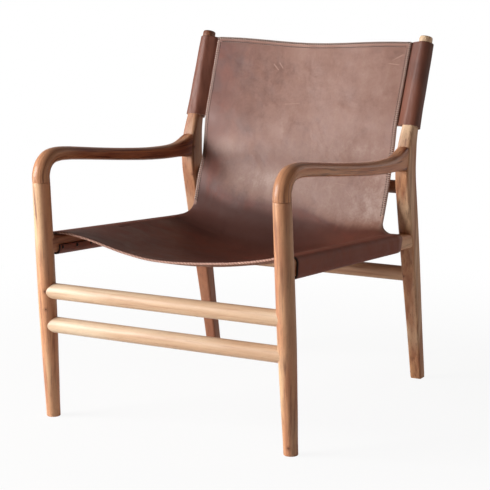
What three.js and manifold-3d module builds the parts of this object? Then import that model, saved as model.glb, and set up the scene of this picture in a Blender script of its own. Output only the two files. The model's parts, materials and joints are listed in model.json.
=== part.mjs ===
// A lounge chair: an open hardwood frame with one sheet of thick leather slung in it as seat and back.
// Millimetres, +Z up. The sitter faces -Y, so the sitter's left hand is on the +X side.
// Heights start at the floor and setbacks at the front feet; the last lines move the origin to the
// centre of the chair's footprint.
import * as THREE from 'three';
import { mergeVertices } from 'three/addons/utils/BufferGeometryUtils.js';
import Module from 'manifold-3d';

const wasm = await Module();
wasm.setup();

// Fits between pieces
const seatGap = 0.3; // air left between two pieces that touch
const overrun = 12; // how far a cutting body reaches past what it cuts

// Front legs, turned, leaning forward and slightly inward
const footSpread = 600; // between the centres of the two front feet
const legTopSpread = 590;
const legLean = 34; // how far forward of its foot the leg's top stands
const legHeight = 533;
const legGirth = 40.8; // largest diameter
const legHeightShares = [0, 0.07, 0.16, 0.25, 0.34, 0.47, 0.6, 0.72, 0.85, 1];
const legGirthShares = [0.76, 0.785, 0.848, 0.89, 0.94, 0.99, 1, 1, 0.977, 0.956];
const footRound = 1.6; // eased edge round the foot

// Back posts, sawn with a knee at arm height
const postFootSpread = 574;
const postKneeSpread = 581;
const postTopSpread = 590.5;
const postFootSetback = 701.5;
const postKneeSetback = 588;
const postKneeHeight = 548;
const postRakeShare = 0.3808; // how far back the post goes above the knee, for its rise
const postKneeBlend = 62; // the curve starts this far below and above the knee
const postHeight = 829;
const postWidth = 36; // across the chair
const postDepth = 51; // front to back, at the knee
const postPlaceShares = [0, 0.012, 0.13, 0.25, 0.36, 0.47, 0.56, 0.62, 0.68, 0.72, 0.76, 0.88, 0.985, 1];
const postWidthShares = [0.75, 0.78, 0.84, 0.92, 0.98, 1, 0.98, 0.96, 0.96, 0.95, 0.94, 0.91, 0.85, 0.78];
const postDepthShares = [0.53, 0.55, 0.59, 0.67, 0.77, 0.87, 0.96, 1, 0.94, 0.8, 0.7, 0.64, 0.6, 0.55];
const postCornerShares = [0.3, 0.32, 0.32, 0.32, 0.32, 0.32, 0.34, 0.36, 0.44, 0.6, 0.75, 0.9, 1, 1];

// Armrests, each sawn and shaped from one blank that turns down onto the leg
const armWidth = 39;
const armDepth = 31; // height of the section along the arm
const armRise = 55.5; // from the leg's top to the highest part of the arm's centre line
const armRunShares = [0, -0.001, 0.014, 0.045, 0.09, 0.152, 0.205, 0.36, 0.52, 0.687, 0.82, 0.91, 1];
const armRiseShares = [0, 0.28, 0.67, 0.92, 1, 0.965, 0.9, 0.69, 0.485, 0.31, 0.24, 0.265, 0.365];
const armPlaceShares = [0, 0.04, 0.08, 0.12, 0.18, 0.27, 0.4, 0.6, 0.78, 0.86, 0.9, 0.935, 0.965, 1];
const armWidthShares = [1, 1, 0.99, 0.98, 0.97, 0.95, 0.94, 0.93, 0.9, 0.86, 0.82, 0.79, 0.76, 0.75];
const armDepthShares = [1.26, 1.18, 1.09, 1.02, 0.97, 0.93, 0.91, 0.94, 1.02, 1.1, 1.21, 1.47, 1.82, 2];
const armRoundShares = [0.05, 0.16]; // along the arm, where the turned section gives way to the shaped one
const armSideShares = [0, 0.42, 0.76, 0.93, 1, 0.98, 0.76, 0.4, 0]; // shaped section, underside to crown
const armUpShares = [-1, -0.97, -0.8, -0.42, 0, 0.36, 0.72, 0.93, 1];
const armEndSideShares = [0, 0.7, 0.93, 1, 1, 1, 0.97, 0.82, 0]; // squarer where it meets the post
const armEndShares = [0.84, 0.95]; // along the arm, where the section turns square

// Round rungs and rails between the two sides
const rungGirth = 35.5;
const rungTenonGirth = 20;
const rungTenonReach = 25; // how deep a tenon goes past the surface that it enters
const frontRungHeights = [291, 214];
const rearRungHeight = 268;
const backRailGirth = 31;
const backRailDrop = 66; // below the knee
const backRailSetback = 6; // behind the middle of the post

// Seat rails, one each side, falling towards the back
const railFrontSpread = 586; // between the rails' middles, at the setback of the front feet
const railRearSpread = 576; // and of the rear feet
const railFrontHeight = 38;
const railRearHeight = 32.5;
const railTopFront = 412.8;
const railTopRear = 365.4;
const railWidth = 34;
const railCorner = 8;
const railTenonWidth = 14;
const railTenonHeight = 24;
const railTenonReach = 23;

// Hidden dowels
const dowelGirth = 12;
const legDowelLength = 56;
const armDowelLength = 48;

// Leather sheet: a seat that wraps the rails, and a back panel that is narrower
const leather = 4.8; // thickness of the sheet
const slingFrontSetback = 0; // front edge where it lies on the rails
const slingMiddleSetback = 27; // and in the middle, where it hangs back
const slingCornerSetback = 500; // the side line leaves the rail here
const slingRearSetback = 530; // end of the part that wraps the rail
const slingLow = 318; // lowest point of the seat, in the middle
const hemDip = 9.2; // the top hem's middle hangs this far below its ends
const hemBow = 3.3; // and this far behind them
const panelGap = 14.5; // between the back rail and the panel's middle
// Middle line, from the front edge to where it passes the back rail, and from there up to the hem
const seatRunShares = [0, 0.164, 0.333, 0.508, 0.663, 0.767, 0.837, 0.88, 0.914, 0.937, 0.964, 1];
const seatRiseShares = [0.36, 0.226, 0.128, 0.051, 0.006, 0.027, 0.107, 0.212, 0.325, 0.441, 0.637, 1];
const panelRunShares = [0.121, 0.255, 0.396, 0.625, 0.824, 1];
const panelRiseShares = [0.142, 0.29, 0.431, 0.643, 0.831, 1];
const railRunShares = [0, 0.2, 0.4, 0.6, 0.78, 0.9, 1]; // side line along the rail
const turnInShares = [0.84, 0.3, -0.06, -0.12, -0.1, -0.14, -0.02, 0]; // from the rail in to the panel's side
const turnBackShares = [0.196, 0.316, 0.413, 0.524, 0.676, 0.84, 0.947, 1]; // and back to the sleeve's foot
const turnUpShares = [0.014, 0.041, 0.089, 0.234, 0.435, 0.628, 0.817, 1];
const seamShares = [0.36, 0.69, 1]; // and up the sleeve to the top hem
const panelSpread = 517; // width of the back panel at the sleeves' foot
const columnShares = [0, 0.22, 0.44, 0.64, 0.82, 0.93, 1]; // of the sheet's half width
const rowShares = [ // along the side line
  0, 0.0588, 0.1176, 0.1765, 0.2353, 0.2941, 0.3529, 0.3882, 0.4294, 0.4706, 0.5059, 0.547, 0.5882, 0.6471,
  0.7059, 0.7647, 0.8235, 0.9118, 1,
];
const wrapRows = 8; // rows that go on round the rails
const flapHeight = 17; // the ends are turned up this far over the rails' inner faces
const liftAngle = 0.42; // radians, the slope at which the sheet leaves the rail
const chainShare = 0.2; // how much flatter than a parabola the seat hangs

// Leather sleeves round the back posts
const sleeveLeather = 2.2;
const sleeveLift = 76; // its foot is this far above the knee
const postShow = 15; // and this much of the post shows above it
const sleeveBottom = postKneeHeight + sleeveLift; // heights on the post's middle line
const sleeveTop = postHeight - postShow;
const sleeveEase = 0.4; // air in front of the post, where the sleeve is pulled tight
const sleeveSlack = 1.5; // and this much more at its sides, twice as much behind it
const sleeveFin = 20; // the two sewn edges reach this far behind the panel
const sleeveRoot = 9; // and come together this far from the post

// Screws through the flaps
const screwCount = 10;
const screwHeadGirth = 8;
const screwHeadHeight = 2.2;
const screwShankGirth = 3.6;
const screwShankLength = 17;
const screwFirst = 8; // setback of the first screw
const screwSpacing = 54;
const screwLift = 11.5; // above the rail's underside

// Facets
const roundSides = 24;
const fineSides = 12;
const screwSides = 6;
const armSteps = 30;
const postSteps = 24;
const cornerFacets = 5; // in each rounded corner of a post
const railFacets = 2; // in each rounded corner of a seat rail
const smallShare = 0.001; // step for the sheet's slopes
const kneeStepShare = 0.125; // of the knee's curve, step for the post's slope

// Finishes
const oiledWood = { color: 0xb9824f, roughness: 0.5, metalness: 0 };
const armWood = { color: 0x8f5a38, roughness: 0.45, metalness: 0 };
const paleWood = { color: 0xd9b080, roughness: 0.55, metalness: 0 };
const saddleLeather = { color: 0x7a5548, roughness: 0.48, metalness: 0 };
const darkSteel = { color: 0x2b2623, roughness: 0.4, metalness: 0.9 };

const across = new THREE.Vector3(1, 0, 0);
const up = new THREE.Vector3(0, 0, 1);
const lerp = THREE.MathUtils.lerp;

// The value at a place between two neighbours of a table, with level tangents at the table's ends
function along(places, values, place) {
  const last = places.length - 1;
  let i = 0;
  while (i < last - 1 && place > places[i + 1]) i += 1;
  const width = places[i + 1] - places[i];
  const t = THREE.MathUtils.clamp((place - places[i]) / width, 0, 1);
  const slope = (k) => {
    const before = Math.max(k - 1, 0);
    const after = Math.min(k + 1, last);
    return (values[after] - values[before]) / (places[after] - places[before]);
  };
  const square = t * t;
  const cube = square * t;
  return (2 * cube - 3 * square + 1) * values[i] + (cube - 2 * square + t) * width * slope(i)
    + (3 * square - 2 * cube) * values[i + 1] + (cube - square) * width * slope(i + 1);
}

// A closed body through rings; each ring has a centre, a direction and points (a, b) in its plane,
// with a running across the chair and b square to both.
function sweep(rings) {
  const places = [];
  const index = [];
  const count = rings[0].section.length;
  for (const { centre, direction, section } of rings) {
    const side = across.clone().addScaledVector(direction, -across.dot(direction)).normalize();
    const normal = side.clone().cross(direction).normalize();
    for (const [a, b] of section) {
      places.push(...centre.clone().addScaledVector(side, a).addScaledVector(normal, b).toArray());
    }
  }
  for (let r = 0; r < rings.length - 1; r += 1) {
    for (let k = 0; k < count; k += 1) {
      const here = r * count + k;
      const next = r * count + ((k + 1) % count);
      index.push(here, here + count, next, next, here + count, next + count);
    }
  }
  const first = places.length / 3;
  places.push(...rings[0].centre.toArray(), ...rings[rings.length - 1].centre.toArray());
  const lastRing = (rings.length - 1) * count;
  for (let k = 0; k < count; k += 1) {
    const next = (k + 1) % count;
    index.push(first, k, next, first + 1, lastRing + next, lastRing + k);
  }
  const body = new THREE.BufferGeometry();
  body.setAttribute('position', new THREE.Float32BufferAttribute(places, 3));
  body.setIndex(index);
  return body;
}

function solidOf(geometry) {
  const bare = geometry.clone();
  bare.deleteAttribute('normal');
  bare.deleteAttribute('uv');
  const merged = mergeVertices(bare);
  return new wasm.Manifold(new wasm.Mesh({
    numProp: 3,
    vertProperties: new Float32Array(merged.attributes.position.array),
    triVerts: new Uint32Array(merged.index.array),
  }));
}

function geometryOf(solid) {
  const mesh = solid.getMesh();
  const geometry = new THREE.BufferGeometry();
  geometry.setAttribute('position', new THREE.BufferAttribute(mesh.vertProperties, 3));
  geometry.setIndex(new THREE.BufferAttribute(mesh.triVerts, 1));
  geometry.computeVertexNormals();
  return geometry;
}

// A round bar between two points
function bar(start, end, girth, sides) {
  const run = end.clone().sub(start);
  const shape = new THREE.CylinderGeometry(girth / 2, girth / 2, run.length(), sides);
  const alongY = new THREE.Vector3(0, 1, 0);
  shape.applyQuaternion(new THREE.Quaternion().setFromUnitVectors(alongY, run.normalize()));
  const middle = start.clone().add(end).divideScalar(2);
  shape.translate(...middle.toArray());
  return solidOf(shape);
}

// The same body on the other side of the chair
function mirrored(geometry) {
  const copy = geometry.clone();
  copy.scale(-1, 1, 1);
  const order = copy.index.array.slice();
  for (let i = 0; i < order.length; i += 3) {
    [order[i], order[i + 1]] = [order[i + 1], order[i]];
  }
  copy.setIndex(new THREE.BufferAttribute(order, 1));
  copy.computeVertexNormals();
  return copy;
}

// Outline of a bar with rounded corners; the share makes it square at 0 and fully round at 1
function roundedOutline(halfA, halfB, cornerShare, grow, facets) {
  const corner = Math.min(halfA, halfB) * cornerShare + grow;
  const a = halfA + grow - corner;
  const b = halfB + grow - corner;
  const points = [];
  for (let quarter = 0; quarter < 4; quarter += 1) {
    for (let k = 0; k <= facets; k += 1) {
      const angle = (quarter + k / facets) * Math.PI / 2;
      const cx = quarter === 0 || quarter === 3 ? a : -a;
      const cy = quarter < 2 ? b : -b;
      points.push([cx + corner * Math.cos(angle), cy + corner * Math.sin(angle)]);
    }
  }
  return points;
}

// Front leg: a turned profile, leaned by a shear so that foot and top stay level
function legAxis(height) {
  const share = height / legHeight;
  return new THREE.Vector3(lerp(footSpread, legTopSpread, share) / 2, -legLean * share, height);
}

function legSolid(grow) {
  const profile = [new THREE.Vector2(0, -grow)];
  profile.push(new THREE.Vector2(legGirth * legGirthShares[0] / 2 - footRound + grow, -grow));
  legHeightShares.forEach((share, i) => {
    const height = i === 0 ? footRound : legHeight * share;
    profile.push(new THREE.Vector2(legGirth * legGirthShares[i] / 2 + grow, height));
  });
  profile.push(new THREE.Vector2(0, legHeight));
  const turned = new THREE.LatheGeometry(profile, roundSides);
  turned.rotateX(Math.PI / 2);
  const foot = legAxis(0);
  const top = legAxis(legHeight);
  const lean = new THREE.Matrix4().makeShear(
    0, 0, 0, 0, (top.x - foot.x) / legHeight, (top.y - foot.y) / legHeight,
  );
  turned.applyMatrix4(lean);
  turned.translate(foot.x, foot.y, 0);
  return solidOf(turned);
}

// Back post: its middle line is two straight runs joined by a curve at the knee
function postAxis(height) {
  const lowStart = postKneeHeight - postKneeBlend;
  const highStart = postKneeHeight + postKneeBlend;
  const above = (h) => (h - postKneeHeight) / (postHeight - postKneeHeight);
  const lowY = (h) => lerp(postFootSetback, postKneeSetback, h / postKneeHeight);
  const highY = (h) => postKneeSetback + (h - postKneeHeight) * postRakeShare;
  const lowX = (h) => lerp(postFootSpread, postKneeSpread, h / postKneeHeight) / 2;
  const highX = (h) => lerp(postKneeSpread, postTopSpread, above(h)) / 2;
  if (height <= lowStart) return new THREE.Vector3(lowX(height), lowY(height), height);
  if (height >= highStart) return new THREE.Vector3(highX(height), highY(height), height);
  const t = (height - lowStart) / (highStart - lowStart);
  const rest = 1 - t;
  const blend = (from, corner, to) => rest * rest * from + 2 * rest * t * corner + t * t * to;
  return new THREE.Vector3(
    blend(lowX(lowStart), postKneeSpread / 2, highX(highStart)),
    blend(lowY(lowStart), postKneeSetback, highY(highStart)),
    height,
  );
}

function postDirection(height) {
  const reach = postKneeBlend * kneeStepShare;
  return postAxis(height + reach).sub(postAxis(height - reach)).normalize();
}

function postSection(height, grow) {
  const place = height / postHeight;
  const halfWidth = postWidth * along(postPlaceShares, postWidthShares, place) / 2;
  const halfDepth = postDepth * along(postPlaceShares, postDepthShares, place) / 2;
  const cornerShare = along(postPlaceShares, postCornerShares, place);
  return roundedOutline(halfWidth, halfDepth, cornerShare, grow, cornerFacets);
}

function postSolid(grow) {
  const rings = [];
  for (let i = 0; i <= postSteps; i += 1) {
    const height = postHeight * i / postSteps;
    const direction = i === 0 ? up.clone() : postDirection(height);
    const centre = postAxis(height);
    if (i === 0) centre.z -= grow;
    rings.push({ centre, direction, section: postSection(height, grow) });
  }
  const rim = postHeight * (postPlaceShares.at(-1) + postPlaceShares.at(-2)) / 2;
  const rimRing = { centre: postAxis(rim), direction: postDirection(rim), section: postSection(rim, grow) };
  rings.splice(-1, 0, rimRing);
  return solidOf(sweep(rings));
}

// Armrest: swept from the leg's top, over the bend and back to the post
const armStart = legAxis(legHeight);
const armEnd = postAxis(postKneeHeight);

function armSection(place) {
  const halfWidth = armWidth * along(armPlaceShares, armWidthShares, place) / 2;
  const halfDepth = armDepth * along(armPlaceShares, armDepthShares, place) / 2;
  const shaped = THREE.MathUtils.smoothstep(place, armRoundShares[0], armRoundShares[1]);
  const squared = THREE.MathUtils.smoothstep(place, armEndShares[0], armEndShares[1]);
  const half = armSideShares.length - 1;
  const points = [];
  for (let k = 0; k < 2 * half; k += 1) {
    const onLeft = k > half;
    const i = onLeft ? 2 * half - k : k;
    const angle = Math.PI * (i / half - 1 / 2);
    const side = lerp(armSideShares[i], armEndSideShares[i], squared);
    const a = lerp(Math.cos(angle), side, shaped) * halfWidth;
    const b = lerp(Math.sin(angle), armUpShares[i], shaped) * halfDepth;
    points.push([onLeft ? -a : a, b]);
  }
  return points;
}

function armBlank() {
  const places = armRunShares.map((share, i) => new THREE.Vector3(
    lerp(armStart.x, armEnd.x, THREE.MathUtils.clamp(share, 0, 1)),
    lerp(armStart.y, armEnd.y, share),
    legHeight + seatGap + armRise * armRiseShares[i],
  ));
  const line = new THREE.CatmullRomCurve3(places, false, 'centripetal');
  const rings = [];
  for (let i = 0; i <= armSteps; i += 1) {
    const place = i / armSteps;
    const direction = i === 0 ? up.clone() : line.getTangentAt(place);
    rings.push({ centre: line.getPointAt(place), direction, section: armSection(place) });
  }
  return solidOf(sweep(rings));
}

// Seat rail: a rounded bar on a falling line, lower at the back
function railTop(setback) {
  return lerp(railTopFront, railTopRear, setback / postFootSetback);
}

function railHalfHeight(setback) {
  return lerp(railFrontHeight, railRearHeight, setback / postFootSetback) / 2;
}

const railMiddle = (setback) => lerp(railFrontSpread, railRearSpread, setback / postFootSetback) / 2;
const railFall = new THREE.Vector3(
  railMiddle(postFootSetback) - railMiddle(0), postFootSetback, railTopRear - railTopFront,
).normalize();
const railUp = across.clone().cross(railFall).normalize();

// A point of the left rail's section: a across the chair, b square to the rail
function onRail(setback, a, b) {
  return new THREE.Vector3(railMiddle(setback), setback, railTop(setback) - railHalfHeight(setback))
    .addScaledVector(across, a)
    .addScaledVector(railUp, b);
}

function railOutline(setback) {
  const halfWidth = railWidth / 2;
  return roundedOutline(halfWidth, railHalfHeight(setback), railCorner / halfWidth, 0, railFacets);
}

function railBar(outlineAt, from, to) {
  return solidOf(sweep([from, to].map((setback) => ({
    centre: onRail(setback, 0, 0),
    direction: railFall,
    section: outlineAt(setback),
  }))));
}

// Where the rail's middle line meets the back of the leg and the front of the post
const railMidFront = railTopFront - railHalfHeight(0);
const railMidRear = railTopRear - railHalfHeight(postFootSetback);
const legBack = legAxis(railMidFront).y + legGirth / 2;
const postRailDepth = postDepth * along(postPlaceShares, postDepthShares, railMidRear / postHeight);
const postFront = postAxis(railMidRear).y - postRailDepth / 2;

const legWhole = legSolid(0);
const legNear = legSolid(seatGap);
const postWhole = postSolid(0);
const postNear = postSolid(seatGap);
const legsNear = legNear.add(solidOf(mirrored(geometryOf(legNear))));
const postsNear = postNear.add(solidOf(mirrored(geometryOf(postNear))));

// A rung from side to side: its ends are scribed to the uprights and carry round tenons
function rung(place, girth, uprights, uprightHalf) {
  const otherSide = new THREE.Vector3(-place.x, place.y, place.z);
  const body = bar(otherSide, place, girth, roundSides).subtract(uprights);
  const tenonEnd = place.x - uprightHalf + rungTenonReach;
  const tenon = bar(
    new THREE.Vector3(-tenonEnd, place.y, place.z),
    new THREE.Vector3(tenonEnd, place.y, place.z),
    rungTenonGirth,
    fineSides,
  );
  return body.add(tenon);
}

function rungBore(place, uprightHalf) {
  const tenonEnd = place.x - uprightHalf + rungTenonReach + seatGap;
  return bar(
    new THREE.Vector3(place.x - uprightHalf - overrun, place.y, place.z),
    new THREE.Vector3(tenonEnd, place.y, place.z),
    rungTenonGirth + 2 * seatGap,
    fineSides,
  );
}

const legHalf = legGirth / 2;
const postHalf = postWidth / 2;
const frontRungPlaces = frontRungHeights.map((height) => legAxis(height));
const rearRungPlace = postAxis(rearRungHeight);
const backRailPlace = postAxis(postKneeHeight - backRailDrop);
backRailPlace.y += backRailSetback;

// Seat rail with its tenons, and the mortise for each
const tenonOutline = (grow) => () => (
  roundedOutline(railTenonWidth / 2, railTenonHeight / 2, 1, grow, railFacets)
);
const railTenonFrom = legBack - railTenonReach;
const railTenonTo = postFront + railTenonReach;
const railTenon = railBar(tenonOutline(0), railTenonFrom, railTenonTo);
const railMortise = railBar(tenonOutline(seatGap), railTenonFrom - seatGap, railTenonTo + seatGap);
const railWhole = railBar(railOutline, legAxis(railMidFront).y, postAxis(railMidRear).y)
  .subtract(legNear)
  .subtract(postNear)
  .add(railTenon);

// Dowels: leg to arm, and arm to post
const legUp = legAxis(legHeight).sub(legAxis(0)).normalize();
const legDowelAt = (reach) => armStart.clone().addScaledVector(legUp, reach);
const armDowelMiddle = new THREE.Vector3(
  armEnd.x, armEnd.y - postDepth / 2, legHeight + armRise * armRiseShares.at(-1),
);
const armDowelAt = (reach) => armDowelMiddle.clone().add(new THREE.Vector3(0, reach, 0));
const dowel = (at, length, grow) => bar(
  at(-length / 2 - grow), at(length / 2 + grow), dowelGirth + 2 * grow, fineSides,
);
const legDowel = dowel(legDowelAt, legDowelLength, 0);
const armDowel = dowel(armDowelAt, armDowelLength, 0);
const legDowelBore = dowel(legDowelAt, legDowelLength, seatGap);
const armDowelBore = dowel(armDowelAt, armDowelLength, seatGap);

// The uprights and the arm with their bores
let leg = legWhole.subtract(railMortise).subtract(legDowelBore);
frontRungPlaces.forEach((place) => {
  leg = leg.subtract(rungBore(place, legHalf));
});
const post = postWhole
  .subtract(railMortise)
  .subtract(armDowelBore)
  .subtract(rungBore(rearRungPlace, postHalf))
  .subtract(rungBore(backRailPlace, postHalf));
const arm = armBlank().subtract(postNear).subtract(legDowelBore).subtract(armDowelBore);

// Sleeve: leather round the post, looser behind, whose edges run together into a fin behind the panel
function sleeveRing(height, grow, rootReach, finHalf, finEnd) {
  const round = postSection(height, grow + sleeveSlack).map(([a, b]) => [a, b - sleeveSlack]);
  const quarter = round.length / 4;
  const kept = Math.floor(quarter / 2);
  const front = round.slice(0, quarter + kept);
  const back = round.slice(round.length - quarter - kept);
  const root = postSection(height, 0)[0][0] + rootReach;
  const fin = [[-root, finHalf], [-finEnd, finHalf], [-finEnd, -finHalf], [-root, -finHalf]];
  return { centre: postAxis(height), direction: postDirection(height), section: [...front, ...fin, ...back] };
}

function sleeveSolid() {
  const finEnd = (postTopSpread - panelSpread) / 2 + sleeveFin;
  const heights = [sleeveBottom, lerp(sleeveBottom, sleeveTop, 1 / 2), sleeveTop];
  const outerGrow = sleeveEase + sleeveLeather;
  const outer = sweep(heights.map((h) => sleeveRing(h, outerGrow, sleeveRoot, sleeveLeather, finEnd)));
  const inner = sweep([sleeveBottom - overrun, ...heights, sleeveTop + overrun].map((h) => {
    const tip = postSection(h, 0)[0][0] + sleeveRoot - seatGap;
    return sleeveRing(h, sleeveEase, sleeveRoot - 2 * seatGap, seatGap / 2, tip);
  }));
  return solidOf(outer).subtract(solidOf(inner));
}
const sleeve = sleeveSolid();

// The leather sheet. Each point of it has a place in the middle of the thickness and an offset to its face.
const sheetHalf = leather / 2;
const panelHalf = panelSpread / 2;

// Round the rail, from where the sheet lifts off to the end of the flap
function wrapAt(setback) {
  const outline = railOutline(setback);
  const bottom = -railHalfHeight(setback);
  const flapEnd = [-railWidth / 2, bottom + flapHeight];
  const liftsOff = railFacets + 1 + railFacets / 2; // in the middle of the upper inner corner
  const corners = outline.slice(1).map((_, i) => outline.at(liftsOff - i));
  const line = [...corners, flapEnd];
  const normals = line.slice(1).map(([a, b], i) => {
    const run = new THREE.Vector2(a - line[i][0], b - line[i][1]).normalize();
    return new THREE.Vector2(-run.y, run.x);
  });
  const lifted = new THREE.Vector2(-Math.sin(liftAngle), Math.cos(liftAngle));
  return line.map(([a, b], i) => {
    const before = i === 0 ? lifted : normals[i - 1];
    const after = i === line.length - 1 ? before : normals[i];
    const mitre = before.clone().add(after).divideScalar(1 + before.dot(after));
    const reach = seatGap + sheetHalf;
    const place = onRail(setback, a + mitre.x * reach, b + mitre.y * reach);
    const offset = new THREE.Vector3().addScaledVector(across, mitre.x).addScaledVector(railUp, mitre.y);
    return { place, offset: offset.multiplyScalar(sheetHalf) };
  });
}

// A point of the panel's side where it lies on the sleeve's fin
function seamAt(height) {
  const centre = postAxis(height);
  const forward = across.clone().cross(postDirection(height));
  const seam = centre.clone().addScaledVector(forward, sleeveLeather + seatGap + sheetHalf);
  seam.x = panelHalf + centre.x - postAxis(sleeveBottom).x;
  return seam;
}

function sideAt(i) {
  if (i < railRunShares.length) {
    return wrapAt(lerp(slingFrontSetback, slingCornerSetback, railRunShares[i]))[0].place;
  }
  const turn = i - railRunShares.length;
  if (turn < turnInShares.length) {
    const start = wrapAt(slingCornerSetback)[0].place;
    const end = seamAt(sleeveBottom);
    return new THREE.Vector3(
      lerp(end.x, start.x, turnInShares[turn]),
      lerp(start.y, end.y, turnBackShares[turn]),
      lerp(start.z, end.z, turnUpShares[turn]),
    );
  }
  return seamAt(lerp(sleeveBottom, sleeveTop, seamShares[turn - turnInShares.length]));
}

const sideCount = railRunShares.length + turnInShares.length + seamShares.length;
const sidePoints = Array.from({ length: sideCount }, (_, i) => sideAt(i));
const sideLine = new THREE.CatmullRomCurve3(sidePoints, false, 'centripetal');
const hemEnd = seamAt(sleeveTop);
const passY = backRailPlace.y - backRailGirth / 2 - panelGap - sheetHalf;
const middlePoints = [
  ...seatRunShares.map((share, i) => new THREE.Vector3(
    0, lerp(slingMiddleSetback, passY, share), lerp(slingLow, backRailPlace.z, seatRiseShares[i]),
  )),
  ...panelRunShares.map((share, i) => new THREE.Vector3(
    0, lerp(passY, hemEnd.y + hemBow, share), lerp(backRailPlace.z, hemEnd.z - hemDip, panelRiseShares[i]),
  )),
];
const middleLine = new THREE.CatmullRomCurve3(middlePoints, false, 'centripetal');

// The seat sags as a chain would; the panel is sewn flat at its sides and bows only in its middle
function sheetPlace(column, row) {
  const side = sideLine.getPoint(row);
  const middle = middleLine.getPoint(row);
  const square = column * column;
  const chain = (1 - square) * (1 - chainShare * square);
  const bow = (1 - square) ** 3;
  const turn = railRunShares.length - 1;
  const isPanel = THREE.MathUtils.smoothstep(row * (sideCount - 1), turn, turn + turnUpShares.length);
  const pull = lerp(chain, bow, isPanel);
  return new THREE.Vector3(side.x * column, lerp(side.y, middle.y, pull), lerp(side.z, middle.z, pull));
}

function sheetPoint(column, row) {
  const slope = (dc, dr) => sheetPlace(column + dc, Math.min(row + dr, 1))
    .sub(sheetPlace(column - dc, Math.max(row - dr, 0)));
  const offset = slope(smallShare, 0).cross(slope(0, smallShare)).normalize().multiplyScalar(sheetHalf);
  return { place: sheetPlace(column, row), offset };
}

function otherSide({ place, offset }) {
  const flip = new THREE.Vector3(-1, 1, 1);
  return { place: place.clone().multiply(flip), offset: offset.clone().multiply(flip) };
}

// Rows of the sheet from the seat's front edge to the top hem; the seat's rows go on round both rails
function sheetRows() {
  return rowShares.map((row, r) => {
    const points = columnShares.map((column) => sheetPoint(column, row));
    if (r >= wrapRows) return points;
    const setback = sideLine.getPoint(row).y;
    const trail = r === wrapRows - 1 ? slingRearSetback - setback : 0;
    return [...points, ...wrapAt(setback + trail).slice(1)];
  }).map((half) => [...half.slice(1).reverse().map(otherSide), ...half]);
}

// A closed body from rows of points, each row centred on the same column
function thickened(rows) {
  const points = rows.flat();
  const starts = [];
  let count = 0;
  rows.forEach((row) => {
    starts.push(count + (row.length - 1) / 2);
    count += row.length;
  });
  const faces = [];
  for (let r = 0; r < rows.length - 1; r += 1) {
    const reach = (Math.min(rows[r].length, rows[r + 1].length) - 1) / 2;
    for (let c = -reach; c < reach; c += 1) {
      faces.push([starts[r] + c, starts[r] + c + 1, starts[r + 1] + c + 1, starts[r + 1] + c]);
    }
  }
  const open = new Map();
  faces.forEach((face) => face.forEach((from, k) => {
    const to = face[(k + 1) % face.length];
    if (!open.delete(`${to}:${from}`)) open.set(`${from}:${to}`, [from, to]);
  }));
  const index = [];
  faces.forEach(([a, b, c, d]) => {
    index.push(a, b, c, a, c, d);
    index.push(count + a, count + c, count + b, count + a, count + d, count + c);
  });
  open.forEach(([from, to]) => {
    index.push(to, from, count + from, to, count + from, count + to);
  });
  const upper = points.flatMap(({ place, offset }) => place.clone().add(offset).toArray());
  const lower = points.flatMap(({ place, offset }) => place.clone().sub(offset).toArray());
  const body = new THREE.BufferGeometry();
  body.setAttribute('position', new THREE.Float32BufferAttribute([...upper, ...lower], 3));
  body.setIndex(index);
  return body;
}

// Screws through the flaps into the rails' inner faces
const screwPlaces = Array.from({ length: screwCount }, (_, i) => {
  const setback = screwFirst + screwSpacing * i;
  return onRail(setback, -railWidth / 2, screwLift - railHalfHeight(setback));
});
const screwHeadFrom = 2 * seatGap + leather;

function screwSolid(place) {
  const profile = [
    [0, -screwShankLength],
    [screwShankGirth / 2, -screwShankLength],
    [screwShankGirth / 2, screwHeadFrom],
    [screwHeadGirth / 2, screwHeadFrom],
    [screwHeadGirth / 2, screwHeadFrom + screwHeadHeight / 2],
    [screwHeadGirth / 4, screwHeadFrom + screwHeadHeight],
    [0, screwHeadFrom + screwHeadHeight],
  ];
  const turned = new THREE.LatheGeometry(profile.map(([r, h]) => new THREE.Vector2(r, h)), screwSides);
  turned.rotateZ(Math.PI / 2);
  turned.translate(...place.toArray());
  return solidOf(turned);
}

function screwHole(place) {
  const end = across.clone().multiplyScalar(screwShankLength + seatGap);
  const start = across.clone().multiplyScalar(-overrun);
  return bar(place.clone().add(start), place.clone().add(end), screwShankGirth + 2 * seatGap, screwSides);
}

const joined = (solids) => solids.reduce((all, one) => all.add(one));
const screwHoles = joined(screwPlaces.map(screwHole));
const rail = railWhole.subtract(screwHoles);
const sling = solidOf(thickened(sheetRows()))
  .subtract(screwHoles)
  .subtract(solidOf(mirrored(geometryOf(screwHoles))));

const chair = new THREE.Group();
function add(name, geometry, finish) {
  const mesh = new THREE.Mesh(geometry, new THREE.MeshStandardMaterial(finish));
  mesh.name = name;
  chair.add(mesh);
}

function addPair(name, solid, finish, number = '') {
  const geometry = geometryOf(solid);
  add(`${name}_left${number}`, geometry, finish);
  add(`${name}_right${number}`, mirrored(geometry), finish);
}

addPair('front_leg', leg, oiledWood);
addPair('back_post', post, oiledWood);
addPair('armrest', arm, armWood);
addPair('seat_rail', rail, oiledWood);
frontRungPlaces.forEach((place, i) => {
  const name = ['front_rung_upper', 'front_rung_lower'][i];
  add(name, geometryOf(rung(place, rungGirth, legsNear, legHalf)), paleWood);
});
add('rear_rung', geometryOf(rung(rearRungPlace, rungGirth, postsNear, postHalf)), paleWood);
add('back_rail', geometryOf(rung(backRailPlace, backRailGirth, postsNear, postHalf)), oiledWood);
addPair('leg_dowel', legDowel, paleWood);
addPair('arm_dowel', armDowel, paleWood);
add('sling', geometryOf(sling), saddleLeather);
addPair('sleeve', sleeve, saddleLeather);
screwPlaces.forEach((place, i) => addPair('flap_screw', screwSolid(place), darkSteel, `_${i + 1}`));

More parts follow.
